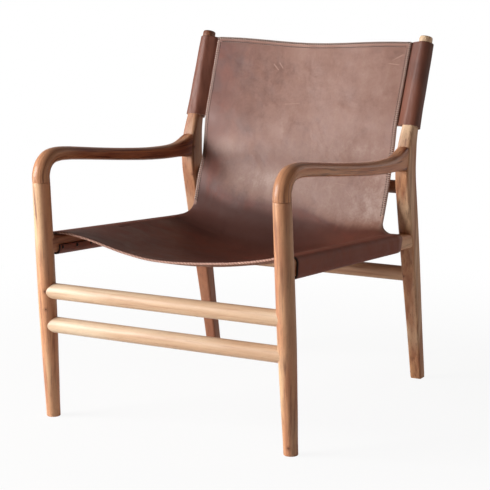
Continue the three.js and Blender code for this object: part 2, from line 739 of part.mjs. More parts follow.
// The origin goes to the centre of the footprint, on the floor
const reach = new THREE.Box3().setFromObject(chair);
chair.position.set(0, -(reach.min.y + reach.max.y) / 2, -reach.min.z);

export default chair;
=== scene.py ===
# A lounge chair: an oiled hardwood frame with one sheet of thick saddle leather slung in it as seat and back.
# Sizes are in millimetres, heights from the floor and setbacks from the front feet, and toFrame turns them
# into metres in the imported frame. The sitter faces -Y, so the sitter's left hand is on the +X side.
import json
import math
import bpy
import numpy as np
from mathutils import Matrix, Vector


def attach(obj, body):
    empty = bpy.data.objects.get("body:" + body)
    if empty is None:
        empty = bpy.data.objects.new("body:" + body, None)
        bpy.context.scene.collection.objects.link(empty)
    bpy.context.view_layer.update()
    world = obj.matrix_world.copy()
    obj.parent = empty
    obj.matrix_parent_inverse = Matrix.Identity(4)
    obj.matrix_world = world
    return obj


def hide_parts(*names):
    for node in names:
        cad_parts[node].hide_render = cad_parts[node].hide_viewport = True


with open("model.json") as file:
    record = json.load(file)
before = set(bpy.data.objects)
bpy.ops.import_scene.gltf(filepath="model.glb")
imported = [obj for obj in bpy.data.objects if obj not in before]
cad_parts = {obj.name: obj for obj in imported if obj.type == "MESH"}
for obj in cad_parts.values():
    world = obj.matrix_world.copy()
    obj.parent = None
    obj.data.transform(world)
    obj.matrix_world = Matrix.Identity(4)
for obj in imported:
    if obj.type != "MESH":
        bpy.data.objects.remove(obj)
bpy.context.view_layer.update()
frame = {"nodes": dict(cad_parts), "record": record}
nodes = frame["nodes"]
frontFeet = next(m for m in frame["record"]["mounts"] if m["name"] == "front_foot_left")["pos_m"][1]
millimetre = 0.001
scene = bpy.context.scene
print("frame loaded:", len(nodes), "nodes")


# Numbers and curves

def toFrame(points):
    placed = np.array(points, float) * millimetre
    placed[..., 1] += frontFeet
    return placed


def lerp(a, b, t):
    return a + (b - a) * t


def smooth(value, low, high):
    t = np.clip((value - low) / (high - low), 0, 1)
    return t * t * (3 - 2 * t)


def norms(vectors):
    return np.linalg.norm(vectors, axis=-1)


def unit(vectors):
    return vectors / np.maximum(norms(vectors)[..., None], 1e-12)


def along(places, values, place):  # the value at a place of a table, without corners
    places, values = np.array(places, float), np.array(values, float)
    i = int(np.clip(np.searchsorted(places, place, side="left") - 1, 0, len(places) - 2))
    width = places[i + 1] - places[i]
    t = np.clip((place - places[i]) / width, 0, 1)

    def slope(k):
        before, after = max(k - 1, 0), min(k + 1, len(places) - 1)
        return (values[after] - values[before]) / (places[after] - places[before])

    square, cube = t * t, t * t * t
    return ((2 * cube - 3 * square + 1) * values[i] + (cube - 2 * square + t) * width * slope(i)
            + (3 * square - 2 * cube) * values[i + 1] + (cube - square) * width * slope(i + 1))


def through(points):  # a smooth curve through points, as a function of the point's number
    points = np.array(points, float)
    padded = np.vstack([2 * points[0] - points[1], points, 2 * points[-1] - points[-2]])

    def at(place):
        i = int(np.clip(math.floor(place), 0, len(points) - 2))
        t = place - i
        p0, p1, p2, p3 = padded[i:i + 4]
        d0, d1, d2 = (np.linalg.norm(b - a) ** 0.5 for a, b in ((p0, p1), (p1, p2), (p2, p3)))
        m1 = ((p1 - p0) / d0 - (p2 - p0) / (d0 + d1) + (p2 - p1) / d1) * d1
        m2 = ((p2 - p1) / d1 - (p3 - p1) / (d1 + d2) + (p3 - p2) / d2) * d1
        return (p1 + m1 * t + (3 * (p2 - p1) - 2 * m1 - m2) * t ** 2 + (2 * (p1 - p2) + m1 + m2) * t ** 3)

    return at


def lengthsOf(path):  # the distance along a path at each of its points
    return np.concatenate([[0], np.cumsum(norms(np.diff(path, axis=0)))])


def pointsAt(path, lengths, places):
    return np.stack([np.interp(places, lengths, path[:, k]) for k in range(path.shape[1])], 1)


def evenly(path, count):  # points at equal distances along a path
    lengths = lengthsOf(path)
    return pointsAt(path, lengths, np.linspace(0, lengths[-1], count))


# Meshes

def newObject(name, data):
    placed = bpy.data.objects.new(name, data)
    scene.collection.objects.link(placed)
    return placed


def giveVectors(mesh, name, vectors):
    mesh.attributes.new(name, "FLOAT_VECTOR", "POINT").data.foreach_set("vector", vectors.ravel())


def makePiece(name, points, faces, materials, cut=None, grain=None, sharp=35):
    mesh = bpy.data.meshes.new(name)
    mesh.from_pydata([tuple(p) for p in toFrame(points)], [], faces)
    for material in materials:
        mesh.materials.append(material)
    if cut is not None:
        mesh.polygons.foreach_set("material_index", np.array(cut, np.int32))
    mesh.polygons.foreach_set("use_smooth", np.ones(len(faces), bool))
    mesh.set_sharp_from_angle(angle=math.radians(sharp))
    if grain is not None:
        places = grain if isinstance(grain, np.ndarray) else points[:, grain]
        giveVectors(mesh, "grain", places * millimetre)
    mesh.validate()
    return newObject(name, mesh)


def declare(piece, slot, *replaced):
    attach(piece, "root")
    if replaced:
        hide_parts(*replaced)
    return piece


def tube(rings):  # points and faces of a closed body through rings of equal length
    count = len(rings[0])
    points = np.vstack(rings)
    faces = []
    for r in range(len(rings) - 1):
        for k in range(count):
            here, after = r * count + k, r * count + (k + 1) % count
            faces.append((here, after, after + count, here + count))
    faces.append(tuple(reversed(range(count))))
    faces.append(tuple(range(len(points) - count, len(points))))
    return points, faces


def merged(bodies):  # several bodies' points and faces as one body's
    points, faces, base = [], [], 0
    for p, f in bodies:
        points.append(p)
        faces.extend(tuple(x + base for x in face) for face in f)
        base += len(p)
    return np.vstack(points), faces


def bothSides(points, faces):  # a left piece, and the right one as its mirror image
    return ("left", points, faces), ("right", points * [-1, 1, 1], [tuple(reversed(face)) for face in faces])


def ringAt(centre, direction, section):  # a runs across the chair, b square to it and to the direction
    direction = direction / np.linalg.norm(direction)
    side = np.array([1.0, 0, 0]) - direction * direction[0]
    side /= np.linalg.norm(side)
    normal = np.cross(side, direction)
    return centre + np.outer(section[:, 0], side) + np.outer(section[:, 1], normal)


def roundedOutline(halfA, halfB, corner, facets):
    points = []
    for quarter, (a, b) in enumerate(((1, 1), (-1, 1), (-1, -1), (1, -1))):
        for k in range(facets + 1):
            angle = (quarter + k / facets) * math.pi / 2
            points.append(((halfA - corner) * a + corner * math.cos(angle),
                           (halfB - corner) * b + corner * math.sin(angle)))
    return np.array(points)


def circle(radius, sides):
    turn = np.linspace(0, 2 * math.pi, sides, endpoint=False)
    return np.stack([np.cos(turn), np.sin(turn)], 1) * radius


# Depth in from an end and inset, both as shares of its radius
easedEdge = [(0.0, 1.0), (0.15, 0.47), (0.5, 0.13), (1.0, 0.0)]


def shareOf(piece, size, place):  # a size at a place of the piece's length
    return piece[size] * along(piece["placeShares"], piece[size + "Shares"], place)


def upright(piece, ringOf):  # a closed body from the floor up with eased rims, from its ring at a height
    foot, top = piece["footRound"], piece["topRound"]
    rings = [ringOf(depth * foot, inset * foot) for depth, inset in easedEdge]
    for height in np.linspace(foot, piece["height"] - top, piece["rings"])[1:-1]:
        rings.append(ringOf(height, 0))
    rings += [ringOf(piece["height"] - depth * top, inset * top) for depth, inset in reversed(easedEdge)]
    return tube(rings)


# Materials

def plug(node, sockets):
    for key, value in sockets.items():
        if isinstance(value, Wire):
            value.tree.links.new(value.socket, node.inputs[key])
        else:
            node.inputs[key].default_value = value


class Wire:  # a socket that does maths, and the one way to any other node
    def __init__(self, tree, socket=None):
        self.tree = tree
        self.socket = socket

    def make(self, kind, settings=(), sockets=(), output=0):
        node = self.tree.nodes.new("ShaderNode" + kind)
        for key, value in dict(settings).items():
            setattr(node, key, value)
        plug(node, dict(sockets))
        return Wire(self.tree, node.outputs[output])

    def maths(self, operation, *others):
        return self.make("Math", {"operation": operation}, dict(enumerate((self, *others))))

    def __add__(self, other):
        return self.maths("ADD", other)

    def __sub__(self, other):
        return self.maths("SUBTRACT", other)

    def __rsub__(self, other):
        return self.make("Math", {"operation": "SUBTRACT"}, {0: other, 1: self})

    def __mul__(self, other):
        return self.maths("MULTIPLY", other)

    __radd__ = __add__

    def between(self, low, high):  # 0 below low, 1 above high, smooth between
        return self.make("MapRange", {"interpolation_type": "SMOOTHSTEP"}, {0: self, 1: low, 2: high})

    def vector(self, operation, other, output=0):
        return self.make("VectorMath", {"operation": operation}, {0: self, 1: other}, output)

    def plus(self, vector):
        return self.vector("ADD", vector)

    def times(self, vector):
        return self.vector("MULTIPLY", vector)

    def distance(self, place):
        return self.vector("DISTANCE", place, 1)

    def part(self, k):  # one of a vector's three numbers
        return self.make("SeparateXYZ", {}, {0: self}, k)

    def attribute(self, name):
        return self.make("Attribute", {"attribute_name": name}, output=1)

    def noise(self, scale, detail=2.0, roughness=0.5, distortion=0.0):
        values = {"Scale": scale, "Detail": detail, "Roughness": roughness, "Distortion": distortion}
        return self.make("TexNoise", {}, {"Vector": self, **values})

    def blend(self, first, second):  # self is the factor
        first, second = (c if isinstance(c, Wire) else shade(*c) for c in (first, second))
        return self.make("Mix", {"data_type": "RGBA"}, {0: self, 6: first, 7: second}, 2)

    def bump(self, strength, distance, **below):  # self is the height
        return self.make("Bump", {}, {"Strength": strength, "Distance": distance, "Height": self, **below})


def shade(red, green, blue):
    parts = (c / 255 for c in (red, green, blue))
    return (*(c / 12.92 if c <= 0.04 else ((c + 0.055) / 1.055) ** 2.4 for c in parts), 1.0)


def newMaterial(name, attribute=None):  # also its surface, and the place on it or its mesh's attribute
    material = bpy.data.materials.new(name)
    material.use_nodes = True
    wire = Wire(material.node_tree)
    place = wire.attribute(attribute) if attribute else wire.make("TexCoord", output="Object")
    return material, wire.tree.nodes["Principled BSDF"], place


def feed(surface, **values):
    plug(surface, {key.replace("_", " "): value for key, value in values.items()})


woodLooks = {  # colours, ring width in mm, the pith's place, and knots or plugs as places and radii in mm
    "oiledOak": {
        "pale": (220, 184, 144), "light": (214, 156, 114), "dark": (156, 98, 70), "streak": (98, 54, 38),
        "rough": 0.42, "line": 0.42, "ring": 11.0, "pith": (0.055, 0.021), "seed": 3.0, "heartAt": 0.297,
        "knots": [(-289.6, -37.5, 292, 4.5), (-290, -34.7, 251, 3.5), (302.6, -16.7, 18.5, 4)]},
    "postOak": {
        "pale": (218, 188, 154), "light": (204, 152, 110), "dark": (146, 92, 64), "streak": (92, 50, 34),
        "red": (122, 74, 54), "rough": 0.42, "line": 0.5, "ring": 11.0, "pith": (0.055, 0.021), "seed": 43.0,
        "knots": [(-273.4, 579.3, 549, 3.5), (-278.6, 576.4, 480, 3.5), (277, 627.5, 264.7, 4),
                  # the last is no knot: it darkens the top of the -X post
                  (-295, 695, 828, 34)],
        # paleAbove and paleShare make the posts paler above the knee; darkShare is painted shade over the -X
        # post, and redBelow with redShare painted shade low down, mostly on the -X post
        "paleAbove": (0.54, 0.66), "paleShare": (0.3, 0.95), "redBelow": (0.24, 0.42), "redShare": (0.6, 0.1),
        "darkShare": (0.6, 0.0)},
    "armOak": {
        "pale": (208, 160, 122), "light": (204, 134, 92), "dark": (130, 70, 46), "streak": (76, 36, 24),
        "rough": 0.3, "line": 0.9, "ring": 12.0, "pith": (0.043, 0.06), "seed": 11.0, "gloss": 0.28,
        # along the arm, paleAbove makes the front bend paler from its foot up: a painted highlight
        "paleAbove": (0.17, 0.04), "paleShare": (0.45, 0.45)},
    "paleOak": {
        "pale": (224, 203, 175), "light": (215, 184, 152), "dark": (194, 156, 125), "streak": (152, 100, 70),
        "rough": 0.33, "line": 0.35, "ring": 12.0, "pith": (0.07, 0.03), "seed": 23.0},
    # a darker copy of paleOak for the rear rung: painted shade under the seat
    "rearOak": {
        "pale": (196, 158, 126), "light": (184, 144, 112), "dark": (150, 108, 82), "streak": (110, 72, 50),
        "rough": 0.5, "line": 0.35, "ring": 12.0, "pith": (0.07, 0.03), "seed": 27.0},
    "darkOak": {
        "pale": (172, 124, 90), "light": (166, 114, 82), "dark": (124, 84, 60), "streak": (78, 50, 36),
        "rough": 0.5, "line": 0.3, "ring": 8.0, "pith": (0.05, 0.03), "seed": 31.0},
}
# painted shade: the red-brown put on the +X side of the front legs and seat rails
paintedShadeRed = (126, 68, 50)


def makeWood(name):
    look = woodLooks[name]
    material, surface, place = newMaterial(name, "grain")  # its third number runs along the grain
    seeded = place.plus((look["seed"],) * 3)

    def stretched(across, along, *noise):
        return seeded.times((across, across, along)).noise(1.0, *noise)

    left = place.part(0).between(-0.1, 0.1)  # 0 on the right, 1 on the left
    height = place.part(2)

    def share(name):  # the -X side's value first, then the +X side's; on the posts darkShare and redShare are painted shade
        right, other = look[name]
        return right + left * (other - right)

    drift, wander = stretched(14, 2.2), stretched(40, 5, 3.0)
    radius = place.plus((*look["pith"], 0)).times((1, 1, 0)).distance((0, 0, 0))
    rings = (radius + (drift - 0.5) * 0.04 + (wander - 0.5) * 0.012) * (1000 / look["ring"])
    growth = rings.maths("FRACT")
    early = growth.between(0.0, 0.75) * (1 - growth.between(0.86, 1.0))
    fibre = stretched(700, 16, 2.0, 0.6)
    pores = stretched(1500, 70, 1.0).between(0.62, 0.72)
    broad = stretched(30, 2.6, 3.0, 0.55).between(0.3, 0.7)
    body = (broad * 0.7 + early * 0.25 + fibre * 0.25 - 0.08).blend(look["light"], look["dark"])
    bleachAndPaintedLight = stretched(24, 3).between(0.46, 0.68) * 0.65
    # paler above a place along the piece: a painted highlight on the arms' front bends, and the posts paler
    # above the knee
    if "paleAbove" in look:
        bleachAndPaintedLight = bleachAndPaintedLight.maths("MAXIMUM", height.between(*look["paleAbove"]) * share("paleShare"))
    body = bleachAndPaintedLight.blend(body, look["pale"])
    if "heartAt" in look:  # painted shade: redder and darker on the side towards +X, away from the key lamp
        inside = place.part(0) - (left * 2 - 1) * look["heartAt"]
        body = (inside.between(0.003, 0.016) * (0.2 + wander * 0.25)).blend(body, paintedShadeRed)
    # painted shade: the -X post darker all over, and redder low down
    if "red" in look:
        body = share("darkShare").blend(body, look["dark"])
        body = ((1 - height.between(*look["redBelow"])) * share("redShare")).blend(body, look["red"])
    streaks = stretched(75, 3.4, 3.0, 0.6).between(0.54, 0.76) * 0.62
    lines = stretched(230, 7, 3.0, 0.65).between(0.5, 0.74) * look["line"]
    colour = (streaks + lines).blend(body, look["streak"])
    colour = (pores * 0.35).blend(colour, look["streak"])
    for *spot, radius in look.get("knots", []):
        apart = place.distance([c * millimetre for c in spot]) * (1 / millimetre) + (wander - 0.5) * radius
        core = 1 - apart.between(radius * 0.35, radius * 0.8)
        halo = 1 - apart.between(radius * 0.8, radius * 2.2)
        colour = (core * 0.6 + halo * 0.3).blend(colour, look["streak"])
    feed(surface, Base_Color=colour, Roughness=look["rough"] + (fibre - 0.5) * 0.14 + pores * 0.1,
         Specular_IOR_Level=look.get("gloss", 0.35),
         Normal=(fibre * 0.4 - pores * 0.8 + early * 0.2).bump(0.14, 0.0005))
    return material


leatherLooks = {
    # the leather's own colours, and the colours of painted light: a pale painted sheen for the back panel,
    # paler painted highlights, and a dark painted shade
    "saddleLeather": {
        "deep": (82, 43, 33), "mid": (106, 60, 46), "bloom": (139, 102, 88), "frost": (176, 148, 135),
        "red": (122, 62, 47), "fold": (114, 54, 33), "shade": (62, 27, 17), "swell": (9, 9, 9),
        "wave": 0.35, "sheen": 0.36, "seed": 5.0, "scratched": True},
    "sleeveLeather": {
        "deep": (84, 46, 34), "mid": (114, 67, 50), "bloom": (140, 94, 76), "frost": (140, 94, 76),
        "red": (108, 60, 46), "fold": (104, 58, 44), "shade": (52, 27, 20), "swell": (45, 45, 1.5),
        "wave": 0.2, "sheen": 0.48, "seed": 17.0, "scratched": False},
}
edgeBand, scratchPale = (178, 140, 124), (206, 170, 152)


scratches = [  # from and to in mm, and how far each shows
    ((212, 666, 768), (247, 671, 787), 0.35), ((214, 664, 766), (240, 662, 764), 0.3),
    ((-94, 664, 755), (-80, 660, 742), 0.35), ((-79, 666, 758), (-68, 662, 746), 0.35),
    ((-46, 631, 661), (-6, 634, 665), 0.15), ((119, 573, 485), (146, 572, 482), 0.14),
    ((148, 568, 471), (163, 564, 458), 0.1),
]


def scratched(place):  # how far the scratches show at a place
    total = None
    for start, end, amount in scratches:
        start, end = toFrame(start), toFrame(end)
        way = end - start
        away = place.vector("SUBTRACT", tuple(start))
        share = away.vector("DOT_PRODUCT", tuple(way / (way @ way)), 1)
        share = share.make("Clamp", {}, {0: share})
        foot = share.make("VectorMath", {"operation": "SCALE"}, {0: tuple(way), "Scale": share})
        line = (1 - away.distance(foot).between(0.0005, 0.0016)) * amount
        total = total.maths("MAXIMUM", line) if total else line
    return total


def makeLeather(name):
    look = leatherLooks[name]
    material, surface, place = newMaterial(name)
    seeded = place.plus((look["seed"],) * 3)
    cloud = seeded.noise(4.2, 4.0, 0.55, 0.4)
    patch = seeded.noise(15.0, 4.0, 0.6, 0.6)
    mottle = seeded.noise(60.0, 3.0, 0.6)
    frost = seeded.noise(170.0, 3.0, 0.7)
    streak = seeded.times((30, 30, 5)).noise(1.0, 3.0, 0.6, 0.5)
    pores = seeded.noise(900.0, 2.0, 0.6)
    creases = seeded.make("TexVoronoi", {"feature": "DISTANCE_TO_EDGE"}, {"Vector": seeded, "Scale": 520.0})
    # its first number is painted sheen on the panel where positive and painted shade where negative, in the
    # hollow and on the sleeves' outer sides; the second is the edge band, the third the folds
    wear = place.attribute("wear")
    paintedLightAmount, edge, fold = (wear.part(k) for k in range(3))
    uneven = 0.87 + (cloud - 0.5) * 0.7 + (patch - 0.5) * 0.85 + (mottle - 0.5) * 0.5
    amount = paintedLightAmount * (uneven + (frost - 0.5) * 0.6 + (streak - 0.5) * 0.9)
    paintedHollowShade = (paintedLightAmount * -1).between(0.0, 1.0)
    colour = cloud.between(0.32, 0.68).blend(look["deep"], look["mid"])
    # random red, the painted sheen, painted highlights where it runs over, painted shade, the folds, random
    # dark specks and the edge band
    for share, tone in (((patch * 0.6 + streak * 0.4).between(0.44, 0.7) * 0.55, look["red"]),
                        (amount.between(0.0, 1.0), look["bloom"]),
                        ((amount - 0.85).between(0.0, 1.0) * 0.9, look["frost"]),
                        (paintedHollowShade, look["shade"]), (fold * (0.35 + patch * 0.8), look["fold"]),
                        (seeded.noise(240.0, 2.0, 0.7).between(0.6, 0.78) * 0.2, look["deep"]),
                        (edge * 0.42, edgeBand)):
        colour = share.blend(colour, tone)
    if look["scratched"]:
        colour = scratched(place).blend(colour, scratchPale)
    fine = (pores * 0.5 + creases.between(0.0, 0.25) * 0.5).bump(0.2, 0.0006)
    swell = seeded.times(look["swell"]).noise(1.0) + patch * 0.25 + mottle * 0.04
    rough = 0.51 + (patch - 0.5) * 0.25 + (streak - 0.5) * 0.15 + (mottle - 0.5) * 0.12
    feed(surface, Base_Color=colour, Roughness=rough - paintedLightAmount * 0.08 + (fold + paintedHollowShade) * 0.13,
         Specular_IOR_Level=look["sheen"], Normal=swell.bump(look["wave"], 0.012, Normal=fine))
    return material


woods = {name: makeWood(name) for name in woodLooks}
saddleLeather = makeLeather("saddleLeather")
sleeveLeather = makeLeather("sleeveLeather")

cutLeather, surface, place = newMaterial("cutLeather")  # paler on edges, darker where they face the rails
hatch = place.make("TexWave", {"wave_type": "BANDS", "bands_direction": "DIAGONAL"},
                   {"Vector": place, "Scale": 75.0, "Distortion": 1.5, "Detail": 1.0}, 1)
fuzz = place.noise(420.0, 3.0, 0.7)
pale = fuzz.between(0.3, 0.7).blend((150, 108, 92), (196, 156, 138))
hatched = (hatch.between(0.4, 0.75) * 0.55).blend(pale, (92, 54, 44))
feed(surface, Base_Color=place.attribute("wear").part(2).blend(hatched, (48, 28, 22)), Roughness=0.72,
     Normal=(fuzz + hatch * 0.6).bump(0.3, 0.0005))

fleshSide, surface, place = newMaterial("fleshSide")
nap = place.noise(330.0, 4.0, 0.65)
napped = (nap * 0.5 + place.noise(14.0, 3.0) * 0.5).between(0.3, 0.7).blend((128, 84, 66), (164, 116, 92))
feed(surface, Base_Color=napped, Roughness=0.85, Specular_IOR_Level=0.2, Normal=nap.bump(0.3, 0.0006))

waxedThread, surface, place = newMaterial("waxedThread")
feed(surface, Base_Color=place.noise(1500.0).blend((164, 142, 130), (218, 202, 192)), Roughness=0.6)

# painted shade: near-black capsules laid along the seams stand for the shade in the stitch holes
stitchHole, surface, place = newMaterial("stitchHole")
holeDark = place.noise(900.0).blend((26, 15, 12), (46, 28, 22))
feed(surface, Base_Color=holeDark, Roughness=0.8, Specular_IOR_Level=0.1)

darkSteel, surface, place = newMaterial("darkSteel")
tarnish = place.noise(700.0, 3.0)
feed(surface, Base_Color=tarnish.between(0.35, 0.7).blend((44, 38, 34), (22, 18, 16)),
     Roughness=0.34 + tarnish * 0.2, Metallic=0.9)
print("materials made")

# Front legs, turned

leg = {
    "footSpread": 600, "topSpread": 590, "lean": 34, "height": 533, "girth": 40.8, "footRound": 1.6,
    "topRound": 0.9,  # the edges at the joint with the arm are eased by this much
    "placeShares": [0, 0.07, 0.16, 0.25, 0.34, 0.47, 0.6, 0.72, 0.85, 1],
    "girthShares": [0.76, 0.785, 0.848, 0.89, 0.94, 0.99, 1, 1, 0.977, 0.956],
    "sides": 56, "rings": 70,
}


def legAxis(height):
    share = height / leg["height"]
    return np.array([lerp(leg["footSpread"], leg["topSpread"], share) / 2, -leg["lean"] * share, height])


def legRing(height, inset):
    flat = circle(shareOf(leg, "girth", height / leg["height"]) / 2 - inset, leg["sides"])
    return legAxis(height) + np.insert(flat, 2, 0, axis=1)


def makePair(name, built, material, slot, grain):
    for side, p, f in bothSides(*built):
        node = f"{name}_{side}"
        declare(makePiece(f"fine_{node}", p, f, [material], grain=grain), slot, node)


makePair("front_leg", upright(leg, legRing), woods["oiledOak"], "oiled_wood", [0, 1, 2])

# Back posts, sawn with a knee at arm height

post = {
    "footSpread": 574, "kneeSpread": 581, "topSpread": 590.5, "footSetback": 701.5, "kneeSetback": 588,
    "kneeHeight": 548, "rakeShare": 0.3808, "kneeBlend": 62, "height": 829, "width": 36, "depth": 51,
    "placeShares": [0, 0.012, 0.13, 0.25, 0.36, 0.47, 0.56, 0.62, 0.68, 0.72, 0.76, 0.88, 0.985, 1],
    "widthShares": [0.75, 0.78, 0.84, 0.92, 0.98, 1, 0.98, 0.96, 0.96, 0.95, 0.94, 0.91, 0.87, 0.86],
    "depthShares": [0.53, 0.55, 0.59, 0.67, 0.77, 0.87, 0.96, 1, 0.94, 0.8, 0.7, 0.64, 0.62, 0.61],
    "cornerShares": [0.3, 0.32, 0.32, 0.32, 0.32, 0.32, 0.34, 0.36, 0.44, 0.6, 0.75, 0.9, 1, 1],
    "topRound": 3.2, "footRound": 1.2, "rings": 110, "facets": 12,
}


def postAxis(height):
    knee = post["kneeHeight"]
    low, high = knee - post["kneeBlend"], knee + post["kneeBlend"]
    foot = np.array([post["footSpread"] / 2, post["footSetback"]])
    corner = np.array([post["kneeSpread"] / 2, post["kneeSetback"]])

    def above(h):
        spread = lerp(post["kneeSpread"], post["topSpread"], (h - knee) / (post["height"] - knee))
        return np.array([spread / 2, post["kneeSetback"] + (h - knee) * post["rakeShare"]])

    if height <= low:
        flat = lerp(foot, corner, height / knee)
    elif height >= high:
        flat = above(height)
    else:
        t = (height - low) / (high - low)
        flat = (1 - t) ** 2 * lerp(foot, corner, low / knee) + 2 * t * (1 - t) * corner + t * t * above(high)
    return np.array([*flat, height])


def postDirection(height):
    step = post["kneeBlend"] / 8
    return unit(postAxis(height + step) - postAxis(height - step))


def postSection(height, grow, facets):
    place = height / post["height"]
    halfWidth, halfDepth = shareOf(post, "width", place) / 2, shareOf(post, "depth", place) / 2
    corner = min(halfWidth, halfDepth) * along(post["placeShares"], post["cornerShares"], place)
    return roundedOutline(halfWidth + grow, halfDepth + grow, max(corner + grow, 0.5), facets)


def postRing(height, inset):
    direction = np.array([0, 0, 1.0]) if height < 2 * post["footRound"] else postDirection(height)
    return ringAt(postAxis(height), direction, postSection(height, -inset, post["facets"]))


makePair("back_post", upright(post, postRing), woods["postOak"], "oiled_wood", [0, 1, 2])

# Armrests, shaped from one blank that turns down onto the leg

arm = {
    "width": 39, "depth": 31, "rise": 55.5, "gap": 0.3,
    "runShares": [0, -0.001, 0.014, 0.045, 0.09, 0.152, 0.205, 0.36, 0.52, 0.687, 0.82, 0.91, 1],
    "riseShares": [0, 0.28, 0.67, 0.92, 1, 0.965, 0.9, 0.69, 0.485, 0.31, 0.24, 0.265, 0.365],
    "placeShares": [0, 0.04, 0.08, 0.12, 0.18, 0.27, 0.4, 0.6, 0.78, 0.86, 0.9, 0.935, 0.965, 1],
    "widthShares": [1, 1, 0.99, 0.98, 0.97, 0.95, 0.94, 0.93, 0.9, 0.86, 0.82, 0.79, 0.76, 0.75],
    "depthShares": [1.26, 1.18, 1.09, 1.02, 0.97, 0.93, 0.91, 0.94, 1.02, 1.1, 1.21, 1.47, 1.82, 2],
    "sideShares": [0, 0.42, 0.76, 0.93, 1, 0.98, 0.76, 0.4, 0],
    "upShares": [-1, -0.97, -0.8, -0.42, 0, 0.36, 0.72, 0.93, 1],
    "endSideShares": [0, 0.7, 0.93, 1, 1, 1, 0.97, 0.82, 0],
    "shapedFrom": (0.05, 0.16), "squareFrom": (0.84, 0.95), "fine": 600, "rings": 130, "half": 24,
}


def armSection(place, inset):
    width, depth = shareOf(arm, "width", place) / 2 - inset, shareOf(arm, "depth", place) / 2 - inset
    shaped, squared = smooth(place, *arm["shapedFrom"]), smooth(place, *arm["squareFrom"])
    outline, square = (through([*zip(arm[k], arm["upShares"])]) for k in ("sideShares", "endSideShares"))
    last = len(arm["sideShares"]) - 1
    right = []
    for k in range(arm["half"] + 1):
        share = k / arm["half"]
        angle = math.pi * (share - 0.5)
        loaf = lerp(outline(share * last), square(share * last), squared)
        right.append(lerp(np.array([math.cos(angle), math.sin(angle)]), loaf, shaped) * [width, depth])
    return np.array(right + [p * [-1, 1] for p in right[-2:0:-1]])


def makeArm():
    start, end = legAxis(leg["height"]), postAxis(post["kneeHeight"])
    line = [(lerp(start[0], end[0], max(run, 0)), lerp(start[1], end[1], run),
             leg["height"] + arm["gap"] + arm["rise"] * rise)
            for run, rise in zip(arm["runShares"], arm["riseShares"])]
    curve = through(line)
    centres = evenly(np.array([curve(x) for x in np.linspace(0, len(line) - 1, arm["fine"])]), arm["rings"])
    directions = np.gradient(centres, axis=0)
    directions[0] = (0, 0, 1)
    groove = leg["topRound"]
    stations = [(centres[0] + [0, 0, depth * groove], directions[0], armSection(0, inset * groove), 0)
                for depth, inset in easedEdge[:-1]]
    sections = [armSection(i / (arm["rings"] - 1), 0) for i in range(arm["rings"])]
    stations += list(zip(centres, directions, sections, lengthsOf(centres)))[1:]
    rings = [ringAt(*station[:3]) for station in stations]
    grain = np.vstack([np.insert(section, 2, length, axis=1) for *_, section, length in stations])
    return tube(rings), grain  # the grain follows the arm round its bend


built, grain = makeArm()
makePair("armrest", built, woods["armOak"], "arm_wood", grain)

# Rungs and the back rail

rungs = {  # height, girth, the line of the uprights, how far behind it, and its wood
    "front_rung_upper": (291, 35.5, legAxis, 0, "paleOak"),
    "front_rung_lower": (214, 35.5, legAxis, 0, "paleOak"),
    "rear_rung": (268, 35.5, postAxis, 0, "rearOak"),
    "back_rail": (482, 31, postAxis, 6, "darkOak"),
}
rungRings, rungSides = 41, 48
for name, (height, girth, axisAt, behind, wood) in rungs.items():
    half, setback, _ = axisAt(height) + [0, behind, 0]
    section = np.insert(circle(girth / 2, rungSides), 0, 0, axis=1)
    rings = [section + [x, setback, height] for x in np.linspace(-half, half, rungRings)]
    rung = makePiece(f"fine_{name}", *tube(rings), [woods[wood]], grain=[1, 2, 0])
    declare(rung, "dark_wood" if wood == "darkOak" else "pale_wood", name)

# Seat rails, falling towards the back

rail = {
    "frontSpread": 586, "rearSpread": 576, "frontHeight": 38, "rearHeight": 32.5, "topFront": 412.8,
    "topRear": 365.4, "width": 34, "corner": 8, "facets": 8, "rings": 40,
    "legAt": 390, "postAt": 350,  # the heights of its ends in the leg and in the post
}


def railShare(setback):
    return setback / post["footSetback"]


def railHalf(setback):
    return lerp(rail["frontHeight"], rail["rearHeight"], railShare(setback)) / 2


def railCentre(setback):
    return np.array([lerp(rail["frontSpread"], rail["rearSpread"], railShare(setback)) / 2, setback,
                     lerp(rail["topFront"], rail["topRear"], railShare(setback)) - railHalf(setback)])


railFall = unit(railCentre(post["footSetback"]) - railCentre(0))
railUp = unit(np.cross([1.0, 0, 0], railFall))


def makeRail():
    setbacks = np.linspace(legAxis(rail["legAt"])[1], postAxis(rail["postAt"])[1], rail["rings"])
    half, *corner = rail["width"] / 2, rail["corner"], rail["facets"]
    outlines = [roundedOutline(half, railHalf(y), *corner) for y in setbacks]
    return tube([ringAt(railCentre(y), railFall, outline) for y, outline in zip(setbacks, outlines)])


makePair("seat_rail", makeRail(), woods["oiledOak"], "oiled_wood", [0, 2, 1])
print("frame pieces made")

# The leather sheet. Rows run across, from the seat's front edge to the top hem; the seat's rows go on
# round both rails. Row places are counted in the points of the two guide lines.

